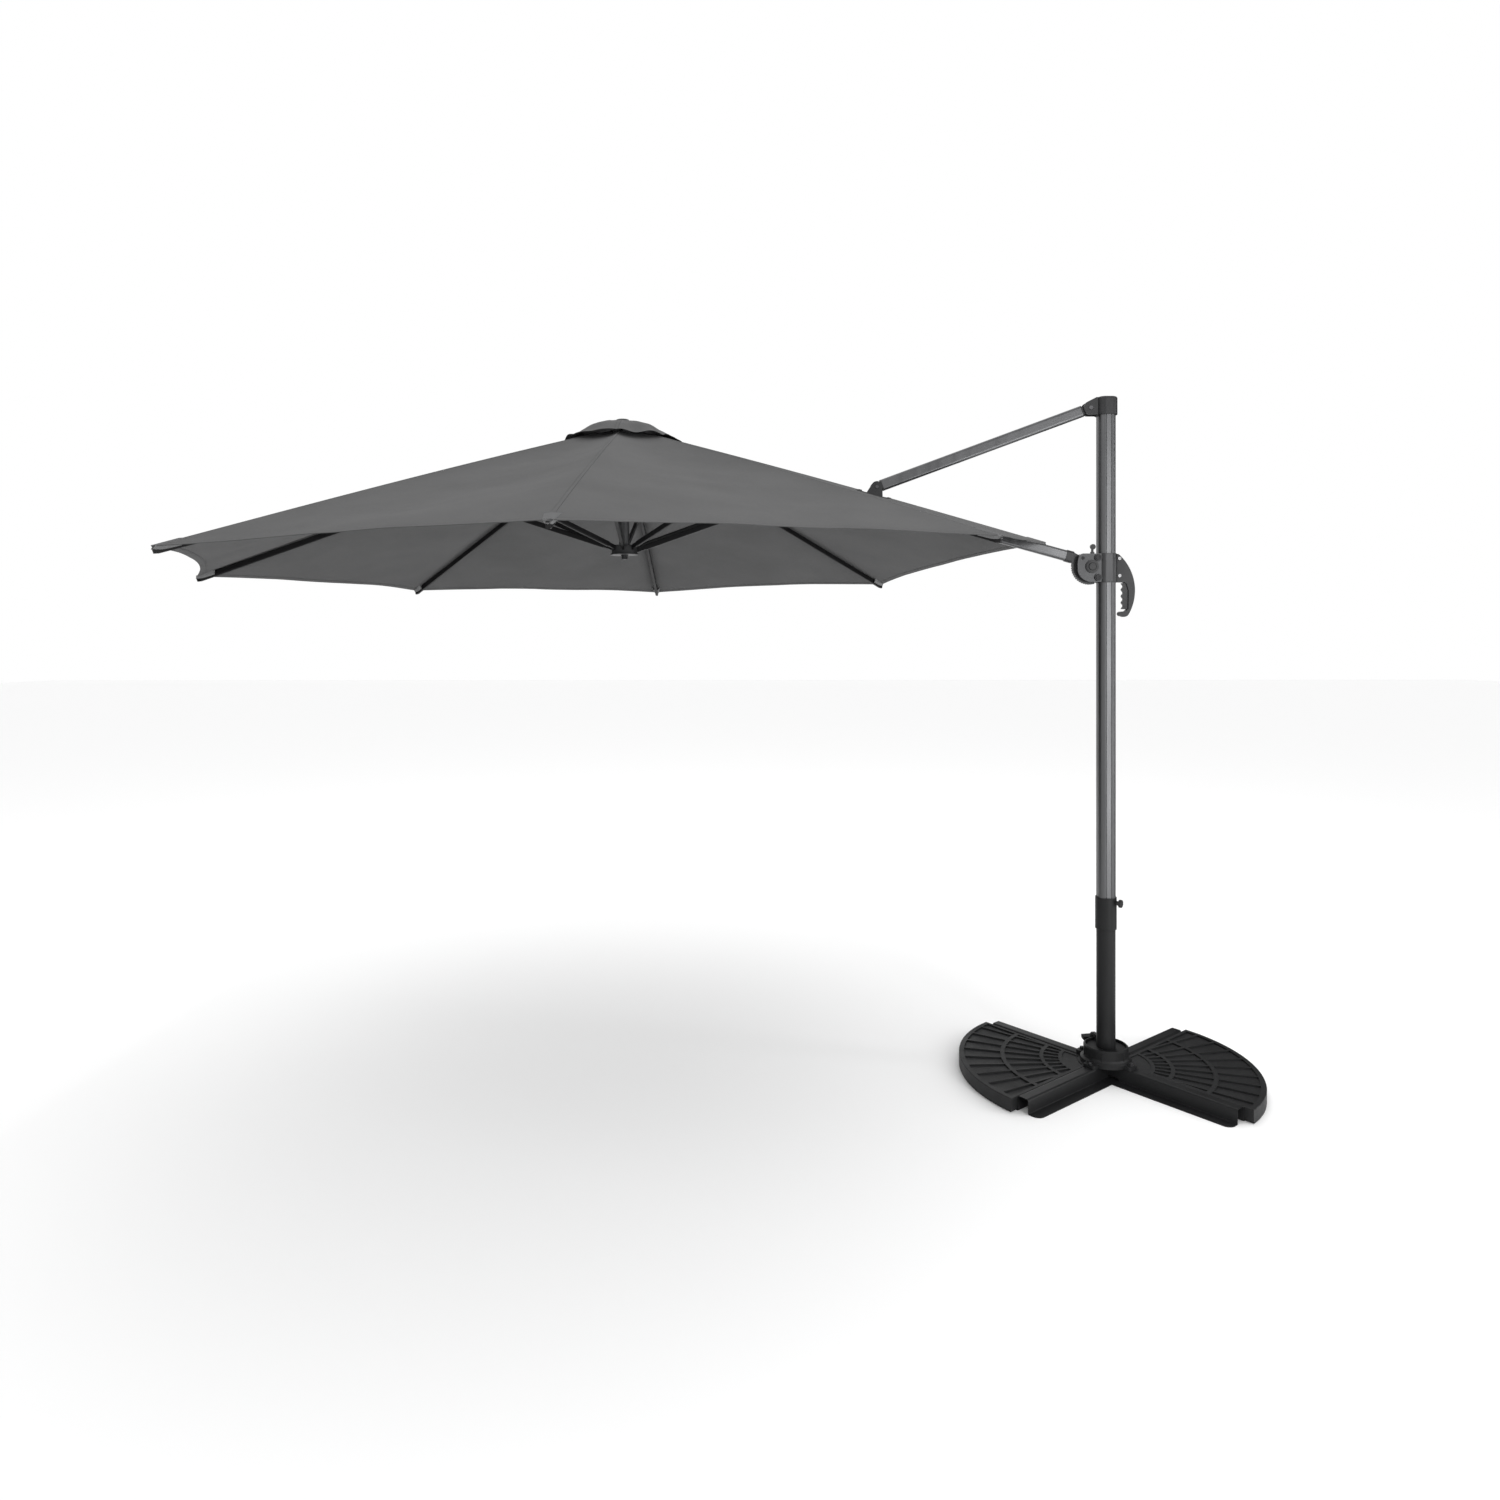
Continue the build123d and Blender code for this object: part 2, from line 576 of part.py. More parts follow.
with BuildPart() as strut_bracket:
    with BuildSketch(ARM_LINE):
        with BuildLine():
            top = (BRACKET_ALONG, -BRACKET_UP - EAR_R)
            Polyline(
                (BRACKET_ALONG - 30, -ARM_TOP),
                (BRACKET_ALONG - 30, -ARM_TOP - 4),
                (BRACKET_ALONG - EAR_R, -BRACKET_UP),
            )
            ThreePointArc((BRACKET_ALONG - EAR_R, -BRACKET_UP), top, (BRACKET_ALONG + EAR_R, -BRACKET_UP))
            Polyline(
                (BRACKET_ALONG + EAR_R, -BRACKET_UP),
                (BRACKET_ALONG + 30, -ARM_TOP - 4),
                (BRACKET_ALONG + 30, -ARM_TOP),
                (BRACKET_ALONG - 30, -ARM_TOP),
            )
        make_face()
        with Locations((BRACKET_ALONG, -BRACKET_UP)):
            Circle(4, mode=Mode.SUBTRACT)
    extrude(amount=EAR_OUT, both=True)
    with BuildSketch(ARM_LINE):
        with Locations((BRACKET_ALONG, -ARM_TOP - 4 - 50)):
            Rectangle(100, 100)
    extrude(amount=EAR_IN, both=True, mode=Mode.SUBTRACT)
write(strut_bracket.part, "strut_bracket")

write(cross_bolt((BRACKET_X, 0, BRACKET_Z), 4, EAR_OUT, 7, 2.5), "bracket_bolt")

with BuildPart() as arm_end_fitting:
    add(tube_plug(ARM_LINE, ARM_TUBE_END - 45, ARM_TUBE_END, ARM_SIZE, 8))
    with BuildSketch(ARM_LINE):
        with BuildLine():
            Polyline(
                (ARM_TUBE_END, -ARM_TOP + 2),
                (ARM_LENGTH - 44, -8),
                (ARM_LENGTH, -8),
                (ARM_LENGTH, 8),
                (ARM_LENGTH - 44, 8),
                (ARM_TUBE_END, ARM_TOP - 2),
                (ARM_TUBE_END, -ARM_TOP + 2),
            )
        make_face()
        with Locations((ARM_LENGTH, 0)):
            Circle(8)
            Circle(PIN_R + RUN, mode=Mode.SUBTRACT)
    extrude(amount=4, both=True)
write(arm_end_fitting.part, "arm_end_fitting")

LUG_POINT = stretcher_line(0, ARM_DROP).origin
LUG_ALONG = ARM_LINE.to_local_coords(LUG_POINT).X
LUG_DOWN = ARM_LINE.to_local_coords(LUG_POINT).Y

with BuildPart() as stretcher_lug:
    with BuildSketch(ARM_LINE):
        with BuildLine():
            Polyline(
                (LUG_ALONG - 6.8, LUG_DOWN),
                (LUG_ALONG - 16, ARM_TOP),
                (LUG_ALONG + 16, ARM_TOP),
                (LUG_ALONG + 6.8, LUG_DOWN),
            )
            ThreePointArc(
                (LUG_ALONG + 6.8, LUG_DOWN), (LUG_ALONG, LUG_DOWN + 6.8), (LUG_ALONG - 6.8, LUG_DOWN)
            )
        make_face()
        with Locations((LUG_ALONG, LUG_DOWN)):
            Circle(PIN_R + RUN, mode=Mode.SUBTRACT)
    extrude(amount=RIB_SIZE[0] / 2, both=True)
write(stretcher_lug.part, "stretcher_lug")

# ================================================================ carriage
CHEEK_GAP = ROOT_HALF + GAP
CHEEK_FACE = 30
SEAM = 34                # cheeks run back into the sleeve to here, from the pivot
LINER_IN = MAST_W / 2 + GAP
SHELL_IN = LINER_IN + 1.6
SHELL_OUT = SHELL_IN + 3
BOSS_FACE = SHELL_OUT + 1
SLEEVE_UP, SLEEVE_DOWN = 46, -54


def liner_ring(inner, outer, low, high):
    """Square ring round the mast between two heights about the carriage pivot."""
    with BuildPart() as ring:
        with BuildSketch(Plane.XY.offset(CARRIAGE_Z + low)):
            RectangleRounded(2 * outer, 2 * outer, outer - MAST_W / 2 + MAST_CURVE)
            RectangleRounded(2 * inner, 2 * inner, inner - MAST_W / 2 + MAST_CURVE, mode=Mode.SUBTRACT)
        extrude(amount=high - low)
    return ring.part


SHOE_HALF = 9            # brake shoe, half its height
SHOE_Z = CARRIAGE_Z - 2


def shoe_window():
    """Window through liner and shell on the handle's side, where the brake shoe meets the mast."""
    with Locations((MAST_W / 2 + 8, 0, SHOE_Z)):
        Box(18, 14 + 2 * GAP, 2 * SHOE_HALF + 2 * GAP, mode=Mode.SUBTRACT)


with BuildPart() as carriage_liner:
    add(liner_ring(LINER_IN, SHELL_IN, SLEEVE_DOWN - 1.5, SLEEVE_UP + 1.5))
    shoe_window()
write(carriage_liner.part, "carriage_liner")


# Side view of the carriage's cheek, with a round front and a square back on the sleeve.
with BuildSketch(QUADRANT) as cheek_outline:
    with BuildLine():
        Polyline(
            (-50, -16),
            (-51, 8),
            (-49, 26),
            (-44, 38),
            (-32, SLEEVE_UP),
            (SEAM, SLEEVE_UP),
            (SEAM, SLEEVE_DOWN),
            (2, SLEEVE_DOWN),
        )
        ThreePointArc((2, SLEEVE_DOWN), (-32, -43), (-50, -16))
    make_face()


SCREW_PLACES = ((22, 32), (22, -38))
SCREW_R = 11.5
HANDLE_SCREWS = ((104, 30), (104, -31))

for shell_name, side in (("carriage_front_shell", -1), ("carriage_rear_shell", 1)):
    with BuildPart() as shell:
        add(liner_ring(SHELL_IN, SHELL_OUT, SLEEVE_DOWN, SLEEVE_UP))
        extrude(cheek_outline.sketch, amount=CHEEK_FACE, both=True)
        with BuildSketch(QUADRANT):
            with Locations(*SCREW_PLACES):
                Circle(SCREW_R + 1.5)
        extrude(amount=BOSS_FACE, both=True)
        with BuildSketch(QUADRANT):
            with Locations((-100 + 60 - SHELL_OUT, 0)):
                Rectangle(200, 300)
        extrude(amount=CHEEK_GAP, both=True, mode=Mode.SUBTRACT)
        with BuildSketch(Plane.XY.offset(CARRIAGE_Z - 80)):
            RectangleRounded(2 * SHELL_IN, 2 * SHELL_IN, SHELL_IN - MAST_W / 2 + MAST_CURVE)
        extrude(amount=160, mode=Mode.SUBTRACT)
        shoe_window()
        with BuildSketch(QUADRANT):
            Circle(7)
        extrude(amount=60, both=True, mode=Mode.SUBTRACT)
        with Locations((0, -side * 150, CARRIAGE_Z)):
            Box(400, 300, 300, mode=Mode.SUBTRACT)
    write(shell.part, shell_name)

with BuildPart() as pivot_bolt:
    with BuildSketch(QUADRANT):
        Circle(7)
    extrude(amount=CHEEK_FACE, both=True)
    for facing in (-1, 1):
        outward = Plane(origin=Q_POINT, x_dir=(1, 0, 0), z_dir=(0, facing, 0)).offset(CHEEK_FACE)
        with BuildSketch(outward):
            Circle(23)
        extrude(amount=4)
        with BuildSketch(outward.offset(4)):
            Circle(20)
            Circle(14.5, mode=Mode.SUBTRACT)
        extrude(amount=2.2)
        with BuildSketch(outward.offset(4)):
            Circle(13)
        extrude(amount=4.5, taper=12)
write(pivot_bolt.part, "pivot_bolt")


HANDLE_HALF = 12
SCREWS = (
    *((place, SCREW_R, BOSS_FACE, 3.5) for place in SCREW_PLACES),
    ((-31, 30), 6, CHEEK_FACE, 3),
    *((place, 6.5, HANDLE_HALF, 3) for place in HANDLE_SCREWS),
)
with BuildPart() as carriage_screws:
    for place, head_r, seat, head in SCREWS:
        for facing in (-1, 1):
            face_plane = Plane(
                origin=(PIVOT_X + place[0], facing * seat, CARRIAGE_Z + place[1]),
                x_dir=(1, 0, 0),
                z_dir=(0, facing, 0),
            )
            with BuildSketch(face_plane):
                Circle(head_r)
            extrude(amount=head, taper=15)
            with BuildSketch(face_plane.offset(head)):
                RegularPolygon(head_r * 0.42, 6)
            extrude(amount=-1.6, mode=Mode.SUBTRACT)
write(carriage_screws.part, "carriage_screws")

HOOK_BASE = Vector(PIVOT_X + 3, -CHEEK_FACE + 6, CARRIAGE_Z + SLEEVE_UP)
with BuildPart() as catch_hook:
    with BuildSketch(Plane(origin=HOOK_BASE)):
        RectangleRounded(14, 7, 2)
    extrude(amount=6)
    with BuildSketch(Plane(origin=HOOK_BASE + Vector(0, 3.5, 0), x_dir=(1, 0, 0), z_dir=(0, -1, 0))):
        with Locations((2, 24)):
            Circle(9.5)
        with Locations((0, 12)):
            Rectangle(7, 14)
    extrude(amount=7)
write(catch_hook.part, "catch_hook")

# Handle on the mast's far side, in side view about the carriage pivot. The trigger lies in its slot.
with BuildPart() as handle:
    with BuildSketch(QUADRANT):
        with BuildLine():
            back = 60 + SHELL_OUT
            Polyline((back, SLEEVE_DOWN), (back, SLEEVE_UP), (102, SLEEVE_UP))
            ThreePointArc((102, SLEEVE_UP), (160, -70), (138, -168))
            ThreePointArc((138, -168), (128, -176), (112, -174))
            ThreePointArc((112, -174), (103, -165), (112, -158))
            Polyline(
                (112, -158),
                (126, -157),
                (136, -148),
                (137, -84),
                (130, -60),
                (122, -54),
                (back, SLEEVE_DOWN),
            )
        make_face()
    extrude(amount=HANDLE_HALF, both=True)
    arcs = handle.edges().filter_by(GeomType.CIRCLE).filter_by(lambda edge: edge.length > 30)
    fillet(arcs, 3)
    with BuildSketch(QUADRANT):
        with Locations((133, -101)):
            Rectangle(20, 101)
    extrude(amount=7.6, both=True, mode=Mode.SUBTRACT)
    with Locations((MAST_W / 2 + 8, 0, SHOE_Z)):
        Box(18 + 22, 14 + 2 * GAP, 2 * SHOE_HALF + 2 * GAP, mode=Mode.SUBTRACT)
write(handle.part, "handle")

with BuildPart() as trigger:
    with BuildSketch(QUADRANT):
        with BuildLine():
            wave = [(118 + 3 * sin(2 * pi * i / 4 - pi / 2), -57 - 92 * i / 16) for i in range(17)]
            Spline(*wave)
            Polyline(wave[-1], (135, -150), (136, -57), wave[0])
        make_face()
    extrude(amount=7, both=True)
write(trigger.part, "trigger")

with BuildPart() as brake_shoe:
    with Locations((MAST_W / 2 + GAP, 0, SHOE_Z)):
        Box(11, 14, 2 * SHOE_HALF, align=(Align.MIN, Align.CENTER, Align.CENTER))
write(brake_shoe.part, "brake_shoe")

# ================================================================ crown, runner and spokes
SLOT_HALF = 4.4
TONGUE_HALF = 4
CROWN_LOW, CROWN_HIGH, CROWN_R = -24, 9, 49
POST_R = 18
RUNNER = Plane(CROWN.location * Location((0, 0, -RUNNER_DROP)))
RUNNER_LOW = -24
SPOKES = list(SPOKE_NAMES) + [0]


def spoke_drop(azimuth):
    """How far this spoke's pivots sit below the others'."""
    return ARM_DROP if azimuth == 0 else 0


def slot_cut(plane, azimuth, low, high):
    """Radial slot through a spoke disc for one tongue, between two heights."""
    frame = Plane(plane.location * Location((0, 0, 0), (0, 0, azimuth)))
    with BuildPart() as slot:
        with BuildSketch(frame.offset(low)):
            with Locations((28 + 20, 0)):
                Rectangle(40, 2 * SLOT_HALF)
        extrude(amount=high - low)
    return slot.part


def spoke_pins(plane):
    """Short pins across the slots, one for each spoke."""
    with BuildPart() as pins:
        for azimuth in SPOKES:
            turn = Location((0, 0, 0), (0, 0, azimuth))
            place = Location((SPOKE_PIVOT_R, 0, -spoke_drop(azimuth)), (90, 0, 0))
            with BuildSketch(Plane(plane.location * turn * place)):
                Circle(PIN_R)
            extrude(amount=10, both=True)
    return pins.part


with BuildPart() as crown_hub:
    with BuildSketch(CROWN.offset(CROWN_LOW)):
        Circle(CROWN_R)
    extrude(amount=CROWN_HIGH - CROWN_LOW)
    with BuildSketch(CROWN.offset(CROWN_LOW)):
        Circle(POST_R)
    extrude(amount=20, mode=Mode.SUBTRACT)
    for spoke in SPOKES:
        add(slot_cut(CROWN, spoke, CROWN_LOW - 1, 8.6), mode=Mode.SUBTRACT)
    add(spoke_pins(CROWN), mode=Mode.SUBTRACT)
write(crown_hub.part, "crown_hub")

write(spoke_pins(CROWN), "crown_pins")

with BuildPart() as centre_post:
    with BuildSketch(RUNNER.offset(-4)):
        Circle(POST_R)
        Circle(POST_R - 2, mode=Mode.SUBTRACT)
    extrude(amount=RUNNER_DROP + CROWN_LOW + 20 + 4)
write(centre_post.part, "centre_post")

CAP_SEAT = RIDGE_RISE + VENT_RISE
with BuildPart() as crown_cap:
    with BuildSketch(CROWN.offset(CROWN_HIGH)):
        Circle(9)
    extrude(amount=CAP_SEAT - CROWN_HIGH)
    with BuildSketch(CROWN.offset(CAP_SEAT - FABRIC - 14)):
        Circle(20)
    extrude(amount=3)
    with BuildSketch(CROWN.offset(CAP_SEAT)):
        Circle(26)
    extrude(amount=6, taper=35)
write(crown_cap.part, "crown_cap")

with BuildPart() as runner:
    with BuildSketch(RUNNER.offset(-20)):
        Circle(45)
    extrude(amount=29)
    chamfer(runner.faces().sort_by(Axis.Z)[-1].edges(), 2)
    with BuildSketch(RUNNER.offset(RUNNER_LOW)):
        Circle(49)
    extrude(amount=4)
    for spoke in SPOKES:
        add(slot_cut(RUNNER, spoke, -8.6 - spoke_drop(spoke), 13), mode=Mode.SUBTRACT)
    with BuildSketch(RUNNER.offset(-6)):
        Circle(POST_R + GAP)
    extrude(amount=30, mode=Mode.SUBTRACT)
    add(spoke_pins(RUNNER), mode=Mode.SUBTRACT)
write(runner.part, "runner")
write(spoke_pins(RUNNER), "runner_pins")

with BuildPart() as runner_bolt:
    with BuildSketch(RUNNER.offset(RUNNER_LOW)):
        Circle(13)
    extrude(amount=-4)
    with BuildSketch(RUNNER.offset(RUNNER_LOW - 4)):
        RegularPolygon(10.5, 6)
    extrude(amount=-12)
    chamfer(runner_bolt.faces().sort_by(Axis.Z)[0].edges(), 1.5)
write(runner_bolt.part, "runner_bolt")

RIB_LENGTH = (CANOPY_R - SPOKE_PIVOT_R) / cos(radians(RIB_SLOPE)) - 14
RIB_START = 30

for spoke, letter in SPOKE_NAMES.items():
    line = spoke_line(spoke)
    ends = Plane(origin=line.origin, x_dir=line.z_dir, z_dir=line.x_dir)
    with BuildPart() as rib:
        with BuildSketch(ends.offset(RIB_START)):
            RectangleRounded(*RIB_SIZE, 3)
            RectangleRounded(RIB_SIZE[0] - 2.4, RIB_SIZE[1] - 2.4, 1.8, mode=Mode.SUBTRACT)
        extrude(amount=RIB_LENGTH - RIB_START)
        with BuildSketch(line):
            with Locations((SPREAD, 0)):
                Circle(PIN_R + RUN)
        extrude(amount=20, both=True, mode=Mode.SUBTRACT)
        with BuildSketch(line):
            with Locations((RIB_START / 2, 0)):
                Rectangle(RIB_START, 16)
            Circle(8)
            Circle(PIN_R + RUN, mode=Mode.SUBTRACT)
        extrude(amount=TONGUE_HALF, both=True)
        with BuildSketch(ends.offset(RIB_START)):
            RectangleRounded(RIB_SIZE[0] - 2.4, RIB_SIZE[1] - 2.4, 1.8)
        extrude(amount=30)
        with BuildSketch(ends.offset(RIB_LENGTH)):
            RectangleRounded(RIB_SIZE[0] + 1, RIB_SIZE[1], 4)
        extrude(amount=12, taper=12)
    write(rib.part, f"rib_{letter}")

FORK_IN = RIB_SIZE[0] / 2 + 0.5
FORK_OUT = FORK_IN + 3
FORK_LENGTH = 66

for spoke in SPOKES:
    line = stretcher_line(spoke, spoke_drop(spoke))
    ends = Plane(origin=line.origin, x_dir=line.z_dir, z_dir=line.x_dir)
    with BuildPart() as stretcher:
        with BuildSketch(ends.offset(FORK_LENGTH)):
            RectangleRounded(*STRETCHER_SIZE, 3)
        extrude(amount=SPREAD - FORK_LENGTH - 34)
        with BuildSketch(line):
            with Locations((FORK_LENGTH / 2 + 7, 0)):
                Rectangle(FORK_LENGTH + 14, 15)
            Circle(7.5)
        extrude(amount=FORK_OUT, both=True)
        with BuildSketch(line):
            with Locations((FORK_LENGTH / 2 - 10, 0)):
                Rectangle(FORK_LENGTH + 20, 30)
        extrude(amount=FORK_IN, both=True, mode=Mode.SUBTRACT)
        with BuildSketch(line):
            with Locations((SPREAD - 22, 0)):
                Rectangle(44, 14)
            with Locations((SPREAD, 0)):
                Circle(8)
                Circle(PIN_R + RUN, mode=Mode.SUBTRACT)
        extrude(amount=TONGUE_HALF, both=True)
        with BuildSketch(line):
            Circle(PIN_R)
        extrude(amount=FORK_OUT + 1.5, both=True)
    write(stretcher.part, f"stretcher_{SPOKE_NAMES.get(spoke, 'm')}")

# ================================================================ canopy
APEX = CROWN.from_local_coords(Vector(0, 0, RIDGE_RISE))


def corner(azimuth):
    """Tip of the canopy over one rib, or over the arm."""
    if azimuth % 360 == 0:
        return Vector(MAST_CORNER[0], 0, MAST_CORNER[1])
    flat = polar(CANOPY_R, azimuth)
    return CROWN.from_local_coords(Vector(*flat, RIDGE_RISE - CANOPY_R * tan(radians(RIB_SLOPE))))


def gore(apex, first, second, sag):
    """One flat panel from the apex to two corners, its hem curved inward, with the cloth's thickness."""
    normal = (first - apex).cross(second - apex).normalized()
    if normal.Z < 0:
        normal = -normal
    panel = Plane(origin=apex, x_dir=(first + second) / 2 - apex, z_dir=normal)
    a, b = panel.to_local_coords(first), panel.to_local_coords(second)
    middle = ((a + b) / 2) * (1 - sag / ((a + b) / 2).length)
    with BuildPart() as cloth:
        with BuildSketch(panel):
            with BuildLine():
                Line((0, 0), (a.X, a.Y))
                ThreePointArc((a.X, a.Y), (middle.X, middle.Y), (b.X, b.Y))
                Line((b.X, b.Y), (0, 0))
            make_face()
        extrude(amount=-FABRIC)
    return cloth.part


with BuildPart() as canopy:
    for azimuth in range(0, 360, 45):
        add(gore(APEX, corner(azimuth), corner(azimuth + 45), HEM_SAG))
    with BuildSketch(Plane(CROWN.location * Location((0, 0, -60)))):
        RegularPolygon(VENT_HOLE_R, 8, rotation=22.5)
    extrude(amount=120, mode=Mode.SUBTRACT)
    with BuildSketch(Plane.XY.offset(BRACKET_Z - 80)):
        with Locations((BRACKET_X - 4, 0)):
            Rectangle(98, 42)
    extrude(amount=100, mode=Mode.SUBTRACT)
write(canopy.part, "canopy")

VENT_APEX = CROWN.from_local_coords(Vector(0, 0, RIDGE_RISE + VENT_RISE))


def vent_corner(azimuth):
    """Corner of the vent flap over a spoke."""
    flat = polar(VENT_R, azimuth)
    return CROWN.from_local_coords(Vector(*flat, RIDGE_RISE + VENT_RISE - VENT_R * tan(radians(RIB_SLOPE))))


with BuildPart() as vent_flap:
    for azimuth in range(0, 360, 45):
        add(gore(VENT_APEX, vent_corner(azimuth), vent_corner(azimuth + 45), 4))
    with BuildSketch(CROWN):
        Circle(9.4)
    extrude(amount=120, mode=Mode.SUBTRACT)
write(vent_flap.part, "vent_flap")

print("link", round(LINK, 1), "strut slope", round(STRUT_SLOPE, 2), "arm slope", round(ARM_SLOPE, 2))
print("runner drop", round(RUNNER_DROP, 1), "lug below the arm's axis", round(LUG_DOWN, 1))
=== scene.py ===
"""Looks of the cantilever parasol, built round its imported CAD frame. Metres, +Z up."""

import json
from math import atan2, cos, pi, radians, sin, tan

import bpy
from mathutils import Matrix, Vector, noise


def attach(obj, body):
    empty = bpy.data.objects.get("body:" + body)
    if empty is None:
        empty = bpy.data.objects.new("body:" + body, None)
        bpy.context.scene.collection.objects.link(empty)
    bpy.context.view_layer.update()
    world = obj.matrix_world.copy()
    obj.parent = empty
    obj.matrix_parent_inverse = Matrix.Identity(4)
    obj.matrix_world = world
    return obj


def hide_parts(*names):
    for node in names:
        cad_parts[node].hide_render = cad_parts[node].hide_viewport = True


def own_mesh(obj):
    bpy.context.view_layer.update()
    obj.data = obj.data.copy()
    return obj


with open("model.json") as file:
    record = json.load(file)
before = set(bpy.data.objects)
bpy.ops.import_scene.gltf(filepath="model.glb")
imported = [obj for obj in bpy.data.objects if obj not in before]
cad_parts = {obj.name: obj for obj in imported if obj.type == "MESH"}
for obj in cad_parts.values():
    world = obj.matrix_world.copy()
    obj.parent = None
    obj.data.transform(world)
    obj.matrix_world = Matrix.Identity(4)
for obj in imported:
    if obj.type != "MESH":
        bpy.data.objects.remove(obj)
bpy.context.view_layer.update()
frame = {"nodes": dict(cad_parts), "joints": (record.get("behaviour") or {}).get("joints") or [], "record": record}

# ---------------------------------------------------------------- driving dimensions
CANOPY_R = 1.5           # hub axis to the tip of a rib, measured flat
RIB_SLOPE = radians(18.7)
PIVOT_R = 0.040          # rib pivots from the hub axis
RIB_DEPTH = 0.020
CLOTH = 0.0008           # cloth's own thickness
CLOTH_LIFT = 0.0015      # cloth over the ribs' upper faces
HEM_SAG = 0.050          # hem's curve inward between two corners
VALLEY = 0.020           # gores hang this far below their flat panels
RIDGE_BOW = 0.008        # ridges stand this far above a straight line midway
CREASES = ((3.1, 0.006), (11, 0.0012))   # scale and height of the cloth's creases
VENT_R = 0.215           # hub axis to the tips of the vent flap
VENT_HOLE_R = 0.110      # opening in the canopy under the vent flap
VENT_RISE = 0.018        # vent flap over the canopy at the hub's axis
RUFFLE = 0.022           # folds along the vent flap's edge
RUFFLE_TURNS = 2.4       # more of them make the ruffles shorter
VENT_LOOSE = 0.007       # smaller waves all over the flap
VENT_LIFT = 0.010        # its edge stands up by this between two ribs
VENT_DROOP = 0.007       # and hangs by this towards the arm
VENT_PUFF = 0.017        # the flap stands up round its finial by this
PUFF_IN = (0.027, 0.055)   # where the puff starts from the axis, and the length it rises over
PUFF_OUT = (0.205, 0.08)   # where it ends, and the length it falls over
VENT_EDGE = 0.165        # from tip to tip along the vent flap's edge
MAST_CORNER = Vector((-0.215, 0, 1.890))   # the canopy's corner over the arm, at the mast
SLIT = (0.098, 0.042)    # opening for the strut's bracket, along the arm and across
SLIT_SHIFT = -0.004      # its middle from the joint of strut and arm, along X
SLIT_ROUND = 0.3         # power that rounds its tape: 1 is an ellipse and 0 a rectangle
TAPE = 0.010             # its tape's width outside the opening
TAPE_LIP = -0.001        # and the tape's inner edge, just inside it
HEM_BAND = 0.022
HEM_GAP = 0.0003         # between the turned-in hem and the cloth over it
POCKET = 0.068           # corner pockets, along the rib
POCKET_WIDE = 0.024      # half width of a pocket at its mouth
POCKET_TAPER = 0.011     # and what it loses by its tip
POCKET_DEEP = 0.020      # below the cloth, at its mouth
POCKET_LIFT = 0.0010     # over the cloth's upper face
POCKET_CROWN = 0.0012    # and what its middle adds to that
POCKET_PAST = 0.002      # past the hem, as a share of the rib's reach

# Spoke 0 is the arm, and the others are the ribs, in turn about the crown.
SPOKES = {0: "m", 1: "e", 2: "d", 3: "c", 4: "b", 5: "a", 6: "g", 7: "n"}

JOINTS = {joint["name"]: joint for joint in frame["joints"]}
CROWN = (Vector(JOINTS["rib_e_fold"]["pos_m"]) + Vector(JOINTS["rib_a_fold"]["pos_m"])) / 2
CROWN_X = -Vector(JOINTS["rib_d_fold"]["axis"])
CROWN_Y = Vector((0, 1, 0))
CROWN_UP = CROWN_X.cross(CROWN_Y)
# The cloth's upper face at the crown's axis, over the rib pivots.
RISE = PIVOT_R * tan(RIB_SLOPE) + (RIB_DEPTH / 2 + CLOTH_LIFT + CLOTH) / cos(RIB_SLOPE)


def crown_point(radius, turn, height):
    """Point about the crown: radius, turn in spokes from the arm, and height over the pivots."""
    angle = turn * pi / 4
    flat = CROWN_X * (radius * cos(angle)) + CROWN_Y * (radius * sin(angle))
    return CROWN + flat + CROWN_UP * height


APEX = crown_point(0, 0, RISE)
CORNERS = [MAST_CORNER] + [
    crown_point(CANOPY_R, k, RISE - CANOPY_R * tan(RIB_SLOPE)) for k in range(1, 8)
]


def tidy_name(prefix, spoke):
    """Name of the piece or body on this spoke."""
    return f"{prefix}_{SPOKES[spoke]}"


def rib_body(spoke):
    """The body that carries the cloth over this spoke."""
    return "arm" if spoke == 0 else tidy_name("rib", spoke)


# ---------------------------------------------------------------- meshes
def mesh_object(name, points, faces, uvs=None):
    mesh = bpy.data.meshes.new(name)
    mesh.from_pydata([tuple(p) for p in points], [], faces)
    if uvs:
        layer = mesh.uv_layers.new(name="Cut")
        for loop in mesh.loops:
            layer.data[loop.index].uv = uvs[loop.vertex_index]
    for polygon in mesh.polygons:
        polygon.use_smooth = True
    mesh.update()
    piece = bpy.data.objects.new(name, mesh)
    bpy.context.scene.collection.objects.link(piece)
    return piece


def grid_faces(rows, columns, skip=()):
    """Faces of a sheet of rows and columns, without the cells in skip."""
    return [
        (r * columns + c, r * columns + c + 1, (r + 1) * columns + c + 1, (r + 1) * columns + c)
        for r in range(rows - 1)
        for c in range(columns - 1)
        if (r, c) not in skip
    ]


def ring_faces(rows, columns):
    """Faces of a tube of closed rings."""
    return [
        (r * columns + c, r * columns + (c + 1) % columns,
         (r + 1) * columns + (c + 1) % columns, (r + 1) * columns + c)
        for r in range(rows - 1)
        for c in range(columns)
    ]


